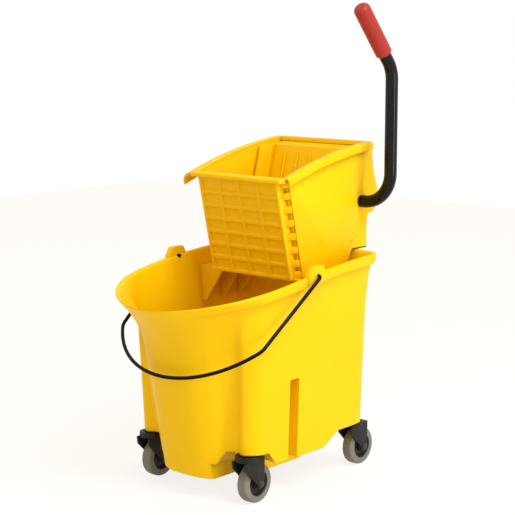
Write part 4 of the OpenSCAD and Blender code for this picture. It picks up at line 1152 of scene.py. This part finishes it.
def bail_route():
    """Route of the wire, drawn flat with rounded bends and then hung down from the ears."""
    leg_y = RIM_WIDTH / 2 + EAR_OUT + WIRE_D
    bow_depth = BAIL_REACH - BAIL_LEG
    bow_r = (BAIL_HALF ** 2 + bow_depth ** 2) / (2 * bow_depth)
    bow_centre = Vector((BAIL_REACH - bow_r, 0))
    foot = Vector((0, leg_y))
    way = (Vector((BAIL_LEG, BAIL_HALF)) - foot).normalized()
    inward = Vector((way.y, -way.x))
    start = foot + BAIL_BEND_R * inward - bow_centre
    along = start.dot(way)
    run = -along + sqrt(along ** 2 - start.length_squared + (bow_r - BAIL_BEND_R) ** 2)
    bend = foot + run * way + BAIL_BEND_R * inward
    leg_turn, bow_turn = turn_of(-inward), turn_of(bend - bow_centre)
    tangent = WIRE_D * tan(radians(180 - leg_turn) / 2)
    half = [(0, RIM_WIDTH / 2 + EAR_OUT - EAR_T - BAIL_TIP)]
    half += arc((WIRE_D, leg_y - tangent), WIRE_D, 180, leg_turn, steps=10)
    half += arc(bend, BAIL_BEND_R, leg_turn, bow_turn, steps=12)
    bow = arc(bow_centre, bow_r, bow_turn, -bow_turn, steps=64)
    flat = half + bow[1:-1] + [(u, -v) for u, v in half[::-1]]
    hang = radians(BAIL_HANG)
    return [(EAR_X - u * cos(hang), -v, PIVOT_Z - u * sin(hang)) for u, v in flat]


bail = sweep("bail_bent", bail_route(), WIRE_D / 2, sides=24)
dress(bail, "bail", ["bail"], "bail_wire", angle=60)

# Torsion spring round the shaft
SPRING_WIRE_R = 1.5
SPRING_R = 14.6
SPRING_TURNS = 5
SPRING_PITCH = 5
SPRING_FROM_Y = 67.5
SPRING_LEG = 10
SPRING_STEPS = 32


def spring_route():
    turns = [2 * pi * k / SPRING_STEPS for k in range(SPRING_TURNS * SPRING_STEPS + 1)]
    points = [(SPRING_R * cos(a), SPRING_PITCH * a / (2 * pi), -SPRING_R * sin(a))
              for a in turns]
    points = [(SPRING_R, 0, SPRING_LEG)] + points + [(SPRING_R, SPRING_PITCH * SPRING_TURNS, -SPRING_LEG)]
    return [(SHAFT_X + x, SPRING_FROM_Y + y, SHAFT_Z + z) for x, y, z in points]


coil = sweep("return_coil", spring_route(), SPRING_WIRE_R, sides=14)
dress(coil, "frame", ["return_spring"], "zinc_steel", angle=60)

# Screws that hold the housing between the side panels
SCREW_Z = 462
SCREW_INSET = 8
SCREW_R = 2.5
SCREW_HEAD_R = 5
SCREW_HEAD_H = 2.5
SCREW_LENGTH = 9
RECESS_LONG = 3
RECESS_WIDE = 0.6
RECESS_FLOOR = 1


def dome(radius, height, base):
    """Profile of a round head from its edge to its top."""
    side = [(radius * cos(a), base + height * sin(a)) for a in quarter(CORNER_STEPS)[:-1]]
    return side + [(0, base + height)]


def make_screws():
    profile = [(0, -SCREW_LENGTH), (SCREW_R, -SCREW_LENGTH), (SCREW_R, 0)]
    profile += dome(SCREW_HEAD_R, SCREW_HEAD_H, 0)
    screws = []
    for side in (-1, 1):
        screw = lathe("screw", profile, sides=32)
        for x, y in ((RECESS_LONG, RECESS_WIDE), (RECESS_WIDE, RECESS_LONG)):
            combine(screw, box((-x, -y, RECESS_FLOOR), (x, y, SCREW_HEAD_H + LAP)))
        place(screw, (-side * 90, 0, 0), (rear_edge_x(SCREW_Z) - SCREW_INSET, side * PANEL_HALF, SCREW_Z))
        screws.append(screw)
    dress(joined("panel_screws", screws), "frame", ["housing_screws"], "yellow_steel")


make_screws()

# Casters
CORE_R = 25
HUB_R = 10
AXLE_R = 4
WEB_HALF = 4.5
AXLE_HALF = 17.5
AXLE_HEAD_R = 7
AXLE_HEAD_H = 3
TYRE_EDGE_R = 5
RUNNING_GAP = 0.05

# Steps of the wheel core's section: (distance out from the hub or in from the rim, height)
HUB_CHAMFER = 1
HUB_FOOT = ((0.8, 1), (2, 0))
CORE_RIM_FOOT = ((5, 0), (3.6, 1))
CORE_RIM_TOP = ((3, 2.5), (2, 1.5), (0, 1.5))


def tyre_profile():
    half = WHEEL_W / 2
    edge = WHEEL_D / 2 - TYRE_EDGE_R
    points = [(CORE_R + RUNNING_GAP, -half)]
    points += arc((edge, -half + TYRE_EDGE_R), TYRE_EDGE_R, -90, 0, CORNER_STEPS)
    points += arc((edge, half - TYRE_EDGE_R), TYRE_EDGE_R, 0, 90, CORNER_STEPS)
    return points + [(CORE_R + RUNNING_GAP, half)]


def core_profile():
    """Half of the wheel core's section, mirrored: bore, hub, web and rim."""
    half = WHEEL_W / 2
    points = [(AXLE_R + RUNNING_GAP, half), (HUB_R - HUB_CHAMFER, half), (HUB_R, half - HUB_CHAMFER)]
    points += [(HUB_R + out, WEB_HALF + rise) for out, rise in HUB_FOOT]
    points += [(CORE_R - inset, WEB_HALF + rise) for inset, rise in CORE_RIM_FOOT]
    points += [(CORE_R - inset, half - drop) for inset, drop in CORE_RIM_TOP]
    return points + [(r, -z) for r, z in points[::-1]]


def axle_profile():
    points = [(AXLE_R, AXLE_HALF)] + dome(AXLE_HEAD_R, AXLE_HEAD_H, AXLE_HALF)
    return points + [(r, -z) for r, z in points[::-1]]


for number, (x, y) in enumerate(STEMS, 1):
    name = "caster_%d_" % number
    caster, wheel = "caster_%d" % number, "wheel_%d" % number
    fork = new_object(name + "fork_moulded", frame["nodes"][name + "fork"].data.copy())
    weld(fork)
    soften(fork, SOFT_RIB)
    dress(fork, caster, [name + "fork"], "black_plastic")
    hub = (x + TRAIL, y, WHEEL_D / 2)
    turned = (("tread", tyre_profile(), 96, wheel, "tyre", "grey_tyre"),
              ("core", core_profile(), 64, wheel, "wheel_core", "hub_plastic"),
              ("rivet", axle_profile(), 48, caster, "axle", "dark_steel"))
    for piece, profile, sides, body, node, slot in turned:
        dress(place(lathe(name + piece, profile, sides), (90, 0, 0), hub), body, [name + node], slot)

# Floor and light
FLOOR_HALF = 4000
FLOOR_Z = -0.2
FLOOR_GLOW = 1.12
FLOOR_GLOW_SHARE = 0.72
WORLD_COLOUR = (1.0, 0.81, 0.58, 1)
WORLD_STRENGTH = 0.82
corners = [(x, y, FLOOR_Z) for x, y in rect(-FLOOR_HALF, -FLOOR_HALF, FLOOR_HALF, FLOOR_HALF)]
floor = mesh_object("floor", corners, [(0, 1, 2, 3)])


def background_ray(tree):
    """One where the camera, a reflection or a clear surface sees the background."""
    path = add(tree, "ShaderNodeLightPath")
    total = path.outputs["Is Camera Ray"]
    for name in ("Is Glossy Ray", "Is Transmission Ray"):
        node = add(tree, "ShaderNodeMath", operation="MAXIMUM")
        for source, end in zip((total, path.outputs[name]), node.inputs):
            tree.links.new(source, end)
        total = node.outputs[0]
    return total


def mix_shaders(tree, factor, first, second, output):
    """Blends two shaders by a factor into a tree's output."""
    mix = add(tree, "ShaderNodeMixShader")
    for source, end in zip((factor, first.outputs[0], second.outputs[0]), mix.inputs):
        tree.links.new(source, end)
    tree.links.new(mix.outputs[0], tree.nodes[output].inputs["Surface"])


def floor_material():
    material, tree, shader = new_material("floor_white")
    shader.inputs["Base Color"].default_value = (0.8, 0.8, 0.79, 1)
    shader.inputs["Roughness"].default_value = 0.9
    glow = add(tree, "ShaderNodeEmission", Strength=FLOOR_GLOW)
    scale = add(tree, "ShaderNodeMath", operation="MULTIPLY")
    scale.inputs[1].default_value = FLOOR_GLOW_SHARE
    tree.links.new(background_ray(tree), scale.inputs[0])
    mix_shaders(tree, scale.outputs[0], shader, glow, "Material Output")
    return material


floor.data.materials.append(floor_material())


def make_world():
    world = bpy.data.worlds.new("studio")
    bpy.context.scene.world = world
    world.use_nodes = True
    tree = world.node_tree
    dim = tree.nodes["Background"]
    dim.inputs["Color"].default_value = WORLD_COLOUR
    dim.inputs["Strength"].default_value = WORLD_STRENGTH
    white = add(tree, "ShaderNodeBackground", Color=(1, 1, 1, 1), Strength=1.0)
    mix_shaders(tree, background_ray(tree), dim, white, "World Output")


make_world()


def lamp(name, place_at, aim, size, power, colour):
    """Rectangular lamp at a place, turned to a point, in metres and watts."""
    data = bpy.data.lights.new(name, "AREA")
    data.shape = "RECTANGLE"
    data.size, data.size_y = size
    data.energy = power
    data.color = colour
    obj = new_object(name, data)
    obj.location = place_at
    obj.rotation_euler = (Vector(aim) - Vector(place_at)).to_track_quat("-Z", "Y").to_euler()


lamp("key", place_at=(0.42, -2.8, 0.7), aim=(0.25, 0, 0.6), size=(0.3, 1.3), power=16, colour=(1, 0.98, 0.95))
lamp("top", place_at=(-0.3, -1.7, 2.6), aim=(-0.1, 0, 0.3), size=(1.2, 1.2), power=44, colour=(1, 0.99, 0.97))

# Camera at the photograph's place
CAMERA_AT = (-2.03533, -1.82626, 0.890)
CAMERA_AZIMUTH = -49.1
CAMERA_PITCH = 9.3
LENS_PX = 1432
FRAME_PX = 515
SENSOR = 36
camera_data = bpy.data.cameras.new("camera")
camera_data.sensor_width = SENSOR
camera_data.lens = LENS_PX / FRAME_PX * SENSOR
camera = new_object("camera", camera_data)
camera.location = CAMERA_AT
camera.rotation_euler = (radians(90 - CAMERA_PITCH), 0, radians(CAMERA_AZIMUTH))
bpy.context.scene.camera = camera
bpy.context.scene.view_settings.view_transform = "Standard"
